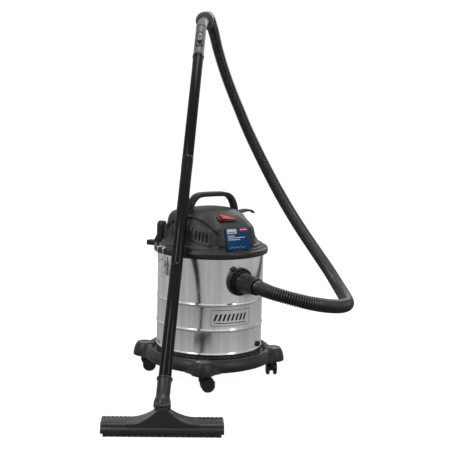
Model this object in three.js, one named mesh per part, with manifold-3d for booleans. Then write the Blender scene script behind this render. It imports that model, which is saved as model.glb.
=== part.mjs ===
// Wheeled wet-and-dry shop vacuum: steel drum on a four-caster dolly, motor head with carry handle,
// ribbed hose, three-tube wand and floor tool. Millimetres, +Z up. The vacuum's own front (switch,
// label plate, inlet) is turned FRONT_TURN to the right of -Y; the floor tool stands in front.
import * as THREE from "three";
import { mergeVertices } from "three/addons/utils/BufferGeometryUtils.js";
import Module from "manifold-3d";

const wasm = await Module();
wasm.setup();

// ---- Driving dimensions -------------------------------------------------------------------------
const GAP = 0.3; // running and resting clearance between neighbouring pieces
const FRONT_TURN = 32.6; // degrees, vacuum front measured from -Y towards +X

const drum = { radius: 150, wall: 1.6, bottom: 72, top: 357, beads: [93, 160, 231], beadOut: 2 };
const rim = { radius: 162, bottom: 360, top: 376 };
const head = { bottom: 382, top: 487, deckTop: 372, wall: 2.6 };
const carry = { halfSpan: 75, topHalf: 44, top: 527, width: 28, thick: 14 };
const inlet = { height: 296, flangeRadius: 39, flangeThick: 10, bore: 22.5, cuffRadius: 27 };
const drain = { turn: 34, height: 106, radius: 8 };
const latch = { pivotHeight: 338, pivotOut: 157.5, bailDrop: 12, bailHalf: 15, wire: 1.5 };
const dolly = { turn: -3.6, podRadius: 185, podTop: 85, podBottom: 47.5, beamRadius: 171 };
const caster = { wheelRadius: 19, wheelWidth: 9, wheelInner: 6, trail: 14, stemRadius: 5.5 };
const casterTrails = [12, 96, 150, 4]; // degrees from +X: front, right, rear, left caster at rest
const wand = { pivot: [-103, -497, 40], direction: [0.0366, 0.6868, 0.7259], tube: 15.9, wall: 2 };
const wandStops = { neckTop: 94, lowerTop: 426, middleTop: 795, upperTop: 1204, bendStart: 1330 };
const handle = { bendAngle: 34, bendRadius: 110, endLength: 62, radius: 16.4, twist: 8 };
const tool = { centre: [-98, -517], turn: 3, width: 292, depth: 72, base: 8, deck: 30, crown: 68,
  ball: 21 };
const hoseRadius = 19;
const drumSides = 30; // facets of the drum and of everything that fits its wall
const cordNames = ["hose", "hose_cuff_inlet", "hose_cuff_handle"];

// The hose's centreline, from the inlet cuff to the wand handle's cuff.
const hoseRoute = [
  [129.7, -202.8, 296],
  [137.2, -214.6, 296],
  [155, -234, 292],
  [188, -249, 285],
  [229, -255, 276],
  [271, -249, 266],
  [312, -230, 257],
  [345, -201, 250],
  [368, -163, 245],
  [380, -117, 241],
  [384, -62, 239],
  [384, 5, 240],
  [377, 100, 249],
  [359, 212, 274],
  [326, 326, 316],
  [288, 421, 366],
  [250, 502, 421],
  [213, 570, 480],
  [177, 623, 543],
  [142, 663, 608],
  [108, 691, 675],
  [77, 708, 744],
  [47, 714, 812],
  [20, 711, 881],
  [-2, 700, 947],
  [-16, 682, 998],
  [-26, 653, 1030],
  [-34, 617, 1050],
  [-38.2, 576.9, 1049.4],
  [-40.2, 558.25, 1045.2],
];

// ---- Materials ----------------------------------------------------------------------------------
const finish = (color, roughness, metalness) =>
  new THREE.MeshStandardMaterial({ color, roughness, metalness });
const steel = finish(0xc9ccce, 0.28, 1);
const chrome = finish(0xe2e4e6, 0.12, 1);
const darkPlastic = finish(0x3e3e40, 0.55, 0);
const blackPlastic = finish(0x151516, 0.4, 0);
const glossBlack = finish(0x101011, 0.18, 0);
const greyPlastic = finish(0x55575a, 0.45, 0);
const redPlastic = finish(0xa41f1d, 0.35, 0);
const labelBlue = finish(0x18426c, 0.4, 0);
const rubber = finish(0x1b1b1b, 0.85, 0);
const foam = finish(0x2b2b2c, 0.95, 0);
const paleGrey = finish(0x8d9094, 0.5, 0);
const copper = finish(0xb0673a, 0.4, 0.8);
const motorSteel = finish(0x8b8e92, 0.4, 0.9);

// ---- Solid helpers ------------------------------------------------------------------------------
const degrees = THREE.MathUtils.degToRad;

function manifoldOf(triVerts, vertProperties) {
  return new wasm.Manifold(new wasm.Mesh({ numProp: 3, vertProperties, triVerts }));
}

/** Closed three.js geometry to a solid, turned so that its faces point out. */
function solid(geometry) {
  const bare = geometry.index ? geometry.toNonIndexed() : geometry.clone();
  bare.deleteAttribute("normal");
  bare.deleteAttribute("uv");
  const merged = mergeVertices(bare, 1e-3);
  const triangles = new Uint32Array(merged.index.array);
  const vertices = merged.attributes.position.array;
  const made = manifoldOf(triangles, vertices);
  if (made.volume() > 0) return made;
  return manifoldOf(triangles.map((_, i) => triangles[i - (i % 3) + 2 - (i % 3)]), vertices);
}

function geometryOf(body) {
  const mesh = body.getMesh();
  const position = new Float32Array(mesh.numVert * 3);
  for (let i = 0; i < mesh.numVert; i++) {
    const start = i * mesh.numProp;
    position.set(mesh.vertProperties.subarray(start, start + 3), i * 3);
  }
  const geometry = new THREE.BufferGeometry();
  geometry.setAttribute("position", new THREE.BufferAttribute(position, 3));
  geometry.setIndex(new THREE.BufferAttribute(new Uint32Array(mesh.triVerts), 1));
  return geometry;
}

const union = (...bodies) => bodies.reduce((sum, body) => sum.add(body));

/** A profile of [radius, height] points turned about Z. It starts and ends on the axis or closes. */
function turned(profile, segments = 24) {
  const closed = profile[0][0] > 0 ? [...profile, profile[0]] : profile;
  const points = closed.map(([r, z]) => new THREE.Vector2(r, z));
  return solid(new THREE.LatheGeometry(points, segments).rotateX(Math.PI / 2));
}

/** A ring between two radii and two heights. */
function ring(inner, outer, low, high, segments = 24) {
  return turned([[inner, low], [outer, low], [outer, high], [inner, high]], segments);
}

/** A disc about Z. */
function disc(radius, low, high, segments = 24) {
  return turned([[0, low], [radius, low], [radius, high], [0, high]], segments);
}

function block(sx, sy, sz, x = 0, y = 0, z = 0) {
  return solid(new THREE.BoxGeometry(sx, sy, sz).translate(x, y, z));
}

/** Turns a solid that was built along +Z so that it runs from one point towards another. */
function aimed(body, from, to) {
  const start = new THREE.Vector3(...from);
  const along = new THREE.Vector3(...to).sub(start).normalize();
  const turn = new THREE.Quaternion().setFromUnitVectors(new THREE.Vector3(0, 0, 1), along);
  const matrix = new THREE.Matrix4().compose(start, turn, new THREE.Vector3(1, 1, 1));
  return solid(geometryOf(body).applyMatrix4(matrix));
}

/** A round bar between two points. */
function bar(from, to, radius, segments = 12) {
  const length = new THREE.Vector3(...to).distanceTo(new THREE.Vector3(...from));
  return aimed(disc(radius, 0, length, segments), from, to);
}

/** A round wire through a list of points with rounded corners. */
function wire(points, radius, segments = 6) {
  const pieces = points.slice(1).map((point, i) => bar(points[i], point, radius, segments));
  const knuckles = points.slice(1, -1).map((point) =>
    solid(new THREE.SphereGeometry(radius, 6, 4).translate(...point)));
  return union(...pieces, ...knuckles);
}

/** A closed outline extruded from z = low to high, with an optional rounded edge. */
function prism(points, low, high, bevel = 0) {
  const shape = new THREE.Shape(points.map(([x, y]) => new THREE.Vector2(x, y)));
  const settings = { depth: high - low - 2 * bevel, bevelEnabled: bevel > 0, bevelSegments: 2,
    bevelSize: bevel, bevelThickness: bevel, bevelOffset: -bevel };
  return solid(new THREE.ExtrudeGeometry(shape, settings).translate(0, 0, low + bevel));
}

/** Outline of a rectangle with rounded corners. */
function roundedOutline(width, depth, corner, steps = 4) {
  const points = [];
  const centres = [[1, 1], [-1, 1], [-1, -1], [1, -1]];
  centres.forEach(([sx, sy], k) => {
    for (let i = 0; i <= steps; i++) {
      const angle = ((k + i / steps) * Math.PI) / 2;
      const x = sx * (width / 2 - corner) + corner * Math.cos(angle);
      const y = sy * (depth / 2 - corner) + corner * Math.sin(angle);
      points.push([x, y]);
    }
  });
  return points;
}

/** A shape swept along a smooth curve through the points. */
function swept(points, outline, steps) {
  const path = new THREE.CatmullRomCurve3(points.map((p) => new THREE.Vector3(...p)));
  const shape = new THREE.Shape(outline.map(([x, y]) => new THREE.Vector2(x, y)));
  return solid(new THREE.ExtrudeGeometry(shape, { steps, bevelEnabled: false, extrudePath: path }));
}

function circleOutline(radius, sides) {
  return Array.from({ length: sides }, (_, i) => {
    const angle = (2 * Math.PI * i) / sides;
    return [radius * Math.cos(angle), radius * Math.sin(angle)];
  });
}

function moved(body, x, y, z) {
  return solid(geometryOf(body).translate(x, y, z));
}

/** Turns a solid about Z by an angle in degrees. */
function turnedBy(body, angle) {
  return solid(geometryOf(body).rotateZ(degrees(angle)));
}

const root = new THREE.Group(); // its origin is on the floor under the drum's axis
const vacuum = new THREE.Group();
vacuum.rotation.z = degrees(FRONT_TURN);
root.add(vacuum);

function add(group, name, body, material) {
  const mesh = new THREE.Mesh(geometryOf(body), material);
  mesh.name = name;
  group.add(mesh);
  return mesh;
}

// ---- Dolly --------------------------------------------------------------------------------------
const podTurns = [0, 90, 180, 270].map((quarter) => dolly.turn + quarter);

/** Point on the dolly at an angle from -Y, measured towards +X. */
function around(angle, radius, z = 0) {
  return [radius * Math.sin(degrees(angle)), -radius * Math.cos(degrees(angle)), z];
}

function podBody() {
  const { podTop, podBottom } = dolly;
  return turned([[0, podBottom], [33, podBottom], [29, podTop - 6], [24.5, podTop], [0, podTop]], 14);
}

function makeDolly() {
  const { beamRadius, podTop, podBottom } = dolly;
  const middle = (podTop + podBottom) / 2;
  const beam = turned([[beamRadius - 13, middle], [beamRadius - 7, podBottom], [beamRadius + 8, podBottom],
    [beamRadius + 14, middle], [beamRadius + 8, podTop - 2], [beamRadius - 7, podTop - 2]], 28);
  const shelf = ring(118, beamRadius - 8, podBottom + 12, drum.bottom - GAP, 28);
  let frame = union(beam, shelf);
  for (const turn of podTurns) {
    const [x, y] = around(turn, dolly.podRadius);
    frame = frame.add(moved(podBody(), x, y, 0));
  }
  for (const turn of podTurns) {
    const [x, y] = around(turn, dolly.podRadius);
    const recess = disc(20, podTop - 3, podTop + 1, 14);
    const bore = disc(caster.stemRadius + 2 * GAP, podBottom - 1, 73, 12);
    frame = frame.subtract(moved(union(recess, bore), x, y, 0));
  }
  add(root, "dolly_frame", frame, blackPlastic);
}

/** Caster in its own frame: stem on Z, wheels trailing towards +X. */
function casterYoke() {
  const { wheelInner, wheelRadius, trail, stemRadius } = caster;
  const stem = disc(stemRadius, 40, 72, 8);
  const collar = disc(15, 41.5, 47.2, 12);
  const outline = [[-9, 42], [-9, 30], [4, 14], [trail, 12], [trail + 9, 22], [trail + 9, 42]];
  const web = solid(geometryOf(prism(outline, -(wheelInner - 1), wheelInner - 1)).rotateX(Math.PI / 2));
  const hub = bar([trail, -5, wheelRadius], [trail, 5, wheelRadius], 7, 10);
  const bore = bar([trail, -9, wheelRadius], [trail, 9, wheelRadius], 3 + GAP, 8);
  return union(stem, collar, web, hub).subtract(bore);
}

function casterWheel(side) {
  const { wheelInner, wheelWidth, wheelRadius, trail } = caster;
  const profile = [[3 + GAP, 0], [wheelRadius, 0], [wheelRadius, wheelWidth - 2],
    [wheelRadius - 2, wheelWidth], [3 + GAP, wheelWidth]];
  const body = turned(profile, 16);
  return aimed(body, [trail, side * wheelInner, wheelRadius], [trail, side * 50, wheelRadius]);
}

function makeCasters() {
  const { wheelInner, wheelWidth, wheelRadius, trail } = caster;
  const reach = wheelInner + wheelWidth - 1.5;
  podTurns.forEach((turn, i) => {
    const group = new THREE.Group();
    const [x, y] = around(turn, dolly.podRadius);
    group.position.set(x, y, 0);
    group.rotation.z = degrees(casterTrails[i]);
    root.add(group);
    const name = `caster_${i + 1}`;
    const axle = bar([trail, -reach, wheelRadius], [trail, reach, wheelRadius], 3, 8);
    add(group, `${name}_yoke`, casterYoke(), blackPlastic);
    add(group, `${name}_axle`, axle, motorSteel);
    add(group, `${name}_wheel_left`, casterWheel(-1), blackPlastic);
    add(group, `${name}_wheel_right`, casterWheel(1), blackPlastic);
  });
}

// ---- Drum ---------------------------------------------------------------------------------------
/** Half-round bead in the wall: profile points around its height. */
function beadPoints(z, radius, out) {
  return [[radius, z - 4], [radius + out, z - 1.5], [radius + out, z + 1.5], [radius, z + 4]];
}

function makeDrum() {
  const { radius, wall, bottom, top, beads, beadOut } = drum;
  const outer = beads.flatMap((z) => beadPoints(z, radius, beadOut));
  const shell = turned([[0, bottom], [radius - 6, bottom], [radius, bottom + 6], ...outer,
    [radius, top], [radius - wall, top], [radius - wall, bottom + 7],
    [radius - 7, bottom + wall], [0, bottom + wall]], drumSides);
  const inletHole = bar([0, -100, inlet.height], [0, -200, inlet.height], 24.5, 24);
  const drainAt = around(drain.turn, 200, drain.height);
  const drainHole = bar(around(drain.turn, 100, drain.height), drainAt, 6.5, 16);
  add(vacuum, "drum", shell.subtract(inletHole).subtract(drainHole), steel);
}

/** Flange ring seated on the drum wall, with a socket that runs into the drum. */
function makeInlet() {
  const { height, flangeRadius, flangeThick, bore } = inlet;
  const seat = drum.radius + 1.9;
  const out = [0, -300, height];
  const ringProfile = [[24, 0], [flangeRadius, 0], [flangeRadius, flangeThick - 3],
    [flangeRadius - 2, flangeThick], [32, flangeThick], [30, flangeThick + 3], [24, flangeThick + 3]];
  const ringBody = aimed(turned(ringProfile, 22), [0, -seat, height], out);
  const socket = aimed(ring(bore, 24.1, -34, flangeThick + 3, 18), [0, -seat, height], out);
  const tab = geometryOf(block(14, 6, 8, 0, -seat - 4, flangeRadius + 1)).rotateY(degrees(-30));
  const lug = solid(tab.translate(0, 0, height));
  const drumForm = disc(drum.radius + 1.6, height - 60, height + 60, drumSides);
  const through = bar([0, -100, height], [0, -200, height], 24, 18);
  const flange = union(ringBody, lug).subtract(drumForm);
  add(vacuum, "inlet_flange", union(flange, socket.subtract(ring(24.05, 60, 200, 380))), blackPlastic);
  const sealBlank = aimed(ring(25.6, flangeRadius - 3, -12, 3, 18), [0, -seat + 3, height], out);
  const wallForm = disc(drum.radius + GAP, height - 60, height + 60, drumSides);
  const outside = disc(drum.radius + 1.3, height - 60, height + 60, drumSides);
  add(vacuum, "inlet_seal", sealBlank.intersect(outside).subtract(wallForm).subtract(through), rubber);
}

function makeDrain() {
  const at = (r) => around(drain.turn, r, drain.height);
  const boss = aimed(ring(5, drain.radius, 0, 2.6, 16), at(drum.radius + 0.6), at(300));
  const sleeve = aimed(ring(5, 6.1, -7, 2, 16), at(drum.radius + 0.6), at(300));
  add(vacuum, "drain_boss", union(boss, sleeve), blackPlastic);
  const bung = turned([[0, -6], [4.6, -6], [4.6, 3], [7.6, 3], [7.6, 5], [6.4, 6.2], [0, 6.2]], 16);
  add(vacuum, "drain_bung", aimed(bung, at(drum.radius + 0.6), at(300)), rubber);
}

// ---- Latches: built at +X of the vacuum and turned to each side ------------------------------------
function latchPlate() {
  const { pivotHeight, pivotOut } = latch;
  const face = drum.radius + 0.6;
  const plate = block(2, 30, 52, face + 1, 0, pivotHeight - 12);
  const ear = (y) => union(block(pivotOut - face, 2, 9, (face + pivotOut) / 2, y, pivotHeight),
    bar([pivotOut, y - 1, pivotHeight], [pivotOut, y + 1, pivotHeight], 4.5, 16));
  const pin = bar([pivotOut, -9, pivotHeight], [pivotOut, 9, pivotHeight], 1.5, 10);
  return union(plate, ear(-9.5), ear(9.5), pin);
}

function latchLever() {
  const { pivotHeight, pivotOut, bailDrop } = latch;
  const bailOut = pivotOut + 2.5;
  const bailHeight = pivotHeight - bailDrop;
  const knuckle = bar([pivotOut, -7.6, pivotHeight], [pivotOut, 7.6, pivotHeight], 3.6, 16);
  const barrel = bar([bailOut, -12, bailHeight], [bailOut, 12, bailHeight], 3.6, 16);
  const web = block(3, 15, bailDrop, pivotOut + 1.8, 0, pivotHeight - bailDrop / 2);
  const blade = block(2.4, 24, 26, bailOut + 2.2, 0, bailHeight - 14);
  const lip = block(6, 24, 2.4, bailOut + 5, 0, bailHeight - 26.5);
  const pinHole = bar([pivotOut, -20, pivotHeight], [pivotOut, 20, pivotHeight], 1.5 + GAP, 10);
  const wireHole = bar([bailOut, -20, bailHeight], [bailOut, 20, bailHeight], latch.wire + GAP, 10);
  return union(knuckle, barrel, web, blade, lip).subtract(pinHole).subtract(wireHole);
}

function latchBail() {
  const { pivotHeight, pivotOut, bailDrop, bailHalf, wire: radius } = latch;
  const low = [pivotOut + 2.5, pivotHeight - bailDrop];
  const outside = rim.radius + radius + 1.6;
  const over = rim.top + radius + 0.6;
  const side = (y) => [[low[0], y, low[1]], [outside, y, over], [rim.radius - 9, y, over]];
  const left = side(-bailHalf);
  const right = side(bailHalf);
  return wire([left[0], ...left.slice(1), ...right.slice().reverse(), left[0]], radius)
    .add(solid(new THREE.SphereGeometry(radius, 6, 4).translate(...left[0])));
}

function makeLatches() {
  [["left", 180], ["right", 0]].forEach(([side, turn]) => {
    const group = new THREE.Group();
    group.rotation.z = degrees(turn);
    vacuum.add(group);
    add(group, `latch_plate_${side}`, latchPlate(), chrome);
    add(group, `latch_lever_${side}`, latchLever(), chrome);
    add(group, `latch_bail_${side}`, latchBail(), chrome);
  });
}

// ---- Motor head ---------------------------------------------------------------------------------
const ventCentres = [-45, -90, 45, 90]; // degrees from the vacuum's front
// Outer slopes of the cover, [radius, height above its foot], at its front, sides and back.
const frontSlope = [[143, 0], [139, 10], [135.5, 29], [130, 50], [123, 61], [107, 75.5],
  [82, 90], [52, 99], [0, 105]];
const sideSlope = [[143, 0], [136, 10], [126.5, 28], [123, 46], [112, 60.5], [97, 75.5],
  [79, 89], [52, 99.5], [0, 105]];
const rearSlope = [[141, 0], [133, 9], [127, 32], [121, 66], [117, 80], [107, 88.5],
  [84, 94], [52, 99.5], [0, 105]];

const ease = (value, low, high) => THREE.MathUtils.smoothstep(value, low, high);

/** Radius of a soft-cornered octagon whose flats are 1 away, with one of them at the front. */
function eightSided(angle) {
  const sharp = 26;
  let total = 0;
  for (let k = 0; k < 8; k++) total += Math.max(0, Math.cos(degrees(angle - 45 * k))) ** sharp;
  return total ** (-1 / sharp);
}

/** The cover's slope at an angle from its front, as a blend of the three. */
function slopeAt(angle, level) {
  const aside = Math.abs(((angle + 540) % 360) - 180);
  const front = 1 - ease(aside, 22, 50);
  const rear = ease(aside, 75, 115);
  return [0, 1].map((i) => frontSlope[level][i] * front + rearSlope[level][i] * rear
    + sideSlope[level][i] * (1 - front - rear));
}

/** The solid space under the cover's skin, grown or shrunk for what is fitted on it. */
function domeForm(grow, sides = 48) {
  const levels = frontSlope.length;
  const foot = new THREE.Vector2(0, 0);
  const geometry = new THREE.LatheGeometry([foot, ...frontSlope.map(() => foot)], sides);
  const { position } = geometry.attributes;
  for (let i = 0; i < position.count; i++) {
    const level = (i % (levels + 1)) - 1;
    const angle = (360 * Math.floor(i / (levels + 1))) / sides;
    const [slopeRadius, z] = level < 0 ? [0, 0] : slopeAt(angle, level);
    const flats = ease(z, 3, 14) * (1 - ease(z, 70, 100));
    const corner = 1 + flats * (0.9 * (eightSided(angle) - 1) - 0.012);
    const radius = slopeRadius > 0 ? slopeRadius * corner + grow : 0;
    position.setXYZ(i, ...around(angle % 360, radius, head.bottom + z + grow));
  }
  return solid(geometry);
}

/** Wide set-back panel with four upright slots in one flat of the cover. */
function ventCutter(centre) {
  const leaning = geometryOf(block(108, 14, 58)).rotateX(degrees(-18));
  const panel = solid(leaning.translate(0, -125.9, head.bottom + 38));
  const slots = [-1.5, -0.5, 0.5, 1.5].map((k) => block(4, 50, 25, 11 * k, -126, head.bottom + 36));
  return turnedBy(union(panel, ...slots), centre);
}

function makeHeadShells() {
  const { deckTop, wall, bottom } = head;
  const below = block(400, 400, 20, 0, 0, bottom - 10);
  let cover = domeForm(0).subtract(domeForm(-3 * wall, 32)).subtract(below);
  for (const centre of ventCentres) cover = cover.subtract(ventCutter(centre));
  const bezelHole = solid(geometryOf(block(54, 24.6, 30)).applyMatrix4(switchPlace()));
  add(vacuum, "head_cover", cover.subtract(bezelHole), darkPlastic);

  const flange = turned([[62, deckTop - 6], [148, deckTop - 6], [148, rim.bottom],
    [rim.radius, rim.bottom], [rim.radius, rim.top - 2], [rim.radius - 2, rim.top],
    [147, rim.top], [143, rim.top + 5.6], [132, rim.top + 5.6], [132, deckTop], [62, deckTop]],
    drumSides);
  const skirt = ring(140, 146.5, 338, deckTop - 3, drumSides);
  add(vacuum, "head_base", union(flange, skirt), blackPlastic);
  add(vacuum, "rim_gasket", ring(147.3, 150.5, drum.top + GAP, rim.bottom - GAP, drumSides), rubber);
}

function makeCarryHandle() {
  const { halfSpan, topHalf, top, width, thick } = carry;
  const mid = top - thick / 2;
  const path = [[-halfSpan, 0, 462], [-halfSpan + 4, 0, 482], [-topHalf - 14, 0, mid - 10],
    [-topHalf, 0, mid - 1.5], [-16, 0, mid + 0.5], [16, 0, mid + 0.5], [topHalf, 0, mid - 1.5],
    [topHalf + 14, 0, mid - 10], [halfSpan - 4, 0, 482], [halfSpan, 0, 462]];
  const grip = swept(path, roundedOutline(width, thick, 5, 2), 18);
  add(vacuum, "carry_handle", grip.subtract(domeForm(GAP)), blackPlastic);
}

/** Where the switch sits: on the slope in front of the carry handle. */
function switchPlace() {
  const tilt = new THREE.Matrix4().makeRotationX(degrees(32));
  return new THREE.Matrix4().makeTranslation(-13, -98, 464).multiply(tilt);
}

/** Rocker switch in its bezel. */
function makeSwitch() {
  const group = new THREE.Group();
  group.applyMatrix4(switchPlace());
  vacuum.add(group);
  const placed = (body) => solid(geometryOf(body).applyMatrix4(switchPlace()));
  const flange = placed(prism(roundedOutline(62, 31, 12, 4), -3, 4)).subtract(domeForm(GAP));
  const neck = placed(prism(roundedOutline(53, 23.6, 2, 1), -6, 2));
  const well = placed(prism(roundedOutline(49.6, 20, 1, 1), -4, 8));
  add(vacuum, "switch_bezel", union(flange, neck).subtract(well), blackPlastic);
  const outline = [[-23.6, 0], [0, -3], [23.6, 0], [23.6, 6], [0, 3.6], [-23.6, 6]];
  const taper = turnedBy(block(90, 20, 40, 0, 13.8), -12.7); // it narrows towards its low end
  const whole = solid(geometryOf(prism(outline, -9.2, 9.2)).rotateX(Math.PI / 2)).subtract(taper);
  const rocker = solid(geometryOf(whole).rotateY(degrees(8)));
  add(group, "switch_rocker", rocker, redPlastic);
}

function makeLabelPlate() {
  const group = new THREE.Group();
  group.position.set(0, -136.4, 411);
  group.rotation.x = degrees(-13.4);
  vacuum.add(group);
  const plate = solid(geometryOf(prism(roundedOutline(70, 60, 3, 2), 0, 1.4)).rotateX(Math.PI / 2));
  add(group, "label_plate", plate, labelBlue);
}

function makeHooks() {
  const horn = swept([[88, 0, 464], [102, 0, 468], [116, 0, 470], [129, 0, 468.5], [142, 0, 461]],
    roundedOutline(26, 7, 2.5, 1), 8);
  add(vacuum, "cable_hook", horn.subtract(domeForm(GAP)), darkPlastic);

  const arm = block(38, 24, 14, 181, 0, 367);
  const foot = block(16, 30, 11.4, 157, 0, rim.top + 6);
  const tongue = prism(roundedOutline(60, 30, 13, 4), -9, 9);
  const upright = solid(geometryOf(tongue).rotateY(Math.PI / 2).translate(157, 0, 403));
  const shape = turnedBy(union(arm, foot, upright), -235.2);
  const rimForm = ring(100, rim.radius + GAP, rim.bottom - 20, rim.top + GAP, drumSides);
  const hook = shape.subtract(rimForm).subtract(disc(147, 370, 390, drumSides));
  add(vacuum, "side_hook", hook, blackPlastic);
}

// ---- Inside the head and the drum ---------------------------------------------------------------
function makeMotor() {
  const base = head.deckTop + GAP;
  add(vacuum, "motor_mount_seal", ring(64, 74, base, base + 3, 24), rubber);
  const low = base + 3 + GAP;
  const housing = turned([[30, low], [76, low], [76, low + 24], [50, low + 27], [50, low + 72],
    [44, low + 76], [10, low + 76], [10, low + 73.5], [43, low + 73.5], [47.5, low + 70],
    [47.5, low + 24.5], [73, low + 21.5], [73, low + 2.5], [30, low + 2.5]], 20);
  add(vacuum, "motor_housing", housing, greyPlastic);
  add(vacuum, "motor_stator", ring(27, 47, low + 30, low + 62, 20), motorSteel);
  const rotor = turned([[0, low + 2.8], [5, low + 2.8], [5, low + 34], [26, low + 34],
    [26, low + 60], [5, low + 60], [5, low + 74], [0, low + 74]], 20);
  add(vacuum, "motor_armature", rotor, copper);
  let fan = turned([[5 + GAP, low + 5], [12, low + 5], [12, low + 16], [68, low + 16], [68, low + 18],
    [5 + GAP, low + 18]], 20);
  for (let k = 0; k < 6; k++) {
    fan = fan.add(turnedBy(block(54, 1.6, 9, 40, 0, low + 12), k * 60));
  }
  add(vacuum, "fan_impeller", fan, finish(0xb9bcc0, 0.35, 0.9));
}

/** Cage that hangs under the head, with the float in it and the foam sleeve round it. */
function makeFilterAndFloat() {
  const top = head.deckTop - 6 - GAP;
  const bottom = 252;
  let cage = turned([[0, bottom], [52, bottom], [52, top - 3], [66, top - 3], [66, top], [48, top],
    [48, bottom + 3], [0, bottom + 3]], 20);
  for (let k = 0; k < 6; k++) {
    const window = block(30, 26, 62, 50, 0, bottom + 54);
    cage = cage.subtract(turnedBy(window, k * 60));
  }
  add(vacuum, "float_cage", cage, paleGrey);
  add(vacuum, "float", turned([[0, bottom + 3.3], [36, bottom + 3.3], [40, bottom + 8], [40, bottom + 34],
    [34, bottom + 40], [0, bottom + 40]], 20), paleGrey);
  const sleeve = ring(52.6, 66, bottom + 6, top - 3.4, 24);
  add(vacuum, "foam_filter", sleeve, foam);
  add(vacuum, "filter_band", ring(66.4, 69, bottom + 8, bottom + 16, 24), rubber);
}

// ---- Hose, wand and floor tool ------------------------------------------------------------------
const pivot = new THREE.Vector3(...wand.pivot);
const along = new THREE.Vector3(...wand.direction).normalize();
const wandAxis = new THREE.Group();
wandAxis.position.copy(pivot);
wandAxis.quaternion.setFromUnitVectors(new THREE.Vector3(0, 0, 1), along);
root.add(wandAxis);
wandAxis.updateMatrixWorld(true);

/** Tube with a wider socket mouth at its top and a slimmer spigot at its foot. */
function tubeWithSocket(foot, spigotFoot, top) {
  const { tube: r, wall } = wand;
  const bore = r - wall;
  return turned([[bore - 2, spigotFoot], [r - 2.4, spigotFoot], [r - 2.4, foot], [r, foot + 2],
    [r, top - 62], [r + 1, top - 44], [r + 1, top - 5], [r + 1.8, top - 5], [r + 1.8, top],
    [r - 1.9, top], [r - 1.9, top - 38], [bore, top - 46], [bore, foot + 8], [bore - 2, foot - 2]], 14);
}

function makeWandTubes() {
  const { neckTop, lowerTop, middleTop, upperTop } = wandStops;
  const spans = [["tube_lower", neckTop, lowerTop], ["tube_middle", lowerTop, middleTop],
    ["tube_upper", middleTop, upperTop]];
  for (const [name, from, to] of spans) {
    add(wandAxis, name, tubeWithSocket(from + GAP, from - 34, to), glossBlack);
  }
}

/** Points of the bent handle in the wand's frame: straight, an arc towards the back, straight. */
function handlePath() {
  const { bendAngle, bendRadius, endLength, twist } = handle;
  const aside = Math.sin(degrees(twist));
  const behind = Math.cos(degrees(twist));
  const { upperTop, bendStart } = wandStops;
  const points = [[0, 0, upperTop + 1]];
  points.push([0, 0, upperTop + 60]);
  const steps = 4;
  for (let i = 0; i <= steps; i++) {
    const angle = degrees((bendAngle * i) / steps);
    const back = bendRadius * (1 - Math.cos(angle));
    points.push([back * aside, back * behind, bendStart - 20 + bendRadius * Math.sin(angle)]);
  }
  const angle = degrees(bendAngle);
  const [x, y, z] = points[points.length - 1];
  const reach = endLength * Math.sin(angle);
  points.push([x + reach * aside, y + reach * behind, z + endLength * Math.cos(angle)]);
  return points;
}

function makeWandHandle() {
  const { radius } = handle;
  const { upperTop } = wandStops;
  const path = handlePath();
  const outer = swept(path, circleOutline(radius, 14), 14);
  const spigot = disc(13.4, upperTop - 34, upperTop + 2, 14);
  const collar = disc(radius + 1.2, upperTop + GAP, upperTop + 6, 16);
  const slideAt = upperTop + 60;
  const outward = (body, z) => aimed(body, [0, 0, z], [0, -50, z]);
  const boss = outward(prism(roundedOutline(24, 64, 11.9, 4), 0, 18.2), slideAt);
  const pocket = outward(prism(roundedOutline(19, 58, 9.4, 4), 14.6, 30), slideAt);
  const body = union(outer, spigot, collar, boss).subtract(pocket);
  add(wandAxis, "wand_handle", body, greyPlastic);
  const slider = prism(roundedOutline(16, 36, 7.9, 4), 15, 19.6);
  add(wandAxis, "suction_slider", outward(slider, slideAt + 8), darkPlastic);
}

/** Ball-jointed neck of the floor tool: ball, waist, flared collar and socket for the lower tube. */
function makeToolNeck() {
  const { neckTop } = wandStops;
  const ball = solid(new THREE.SphereGeometry(tool.ball, 14, 8));
  const stem = turned([[0, 0], [12, 0], [12, 16], [21, 18], [21, 33], [17.6, 43], [17.6, neckTop - 5],
    [19, neckTop - 5], [19, neckTop], [0, neckTop]], 16);
  const socket = disc(14, neckTop - 36, neckTop + 1, 14);
  const throat = disc(9, -30, neckTop, 10);
  add(wandAxis, "tool_neck", union(ball, stem).subtract(socket).subtract(throat), blackPlastic);
}

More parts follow.
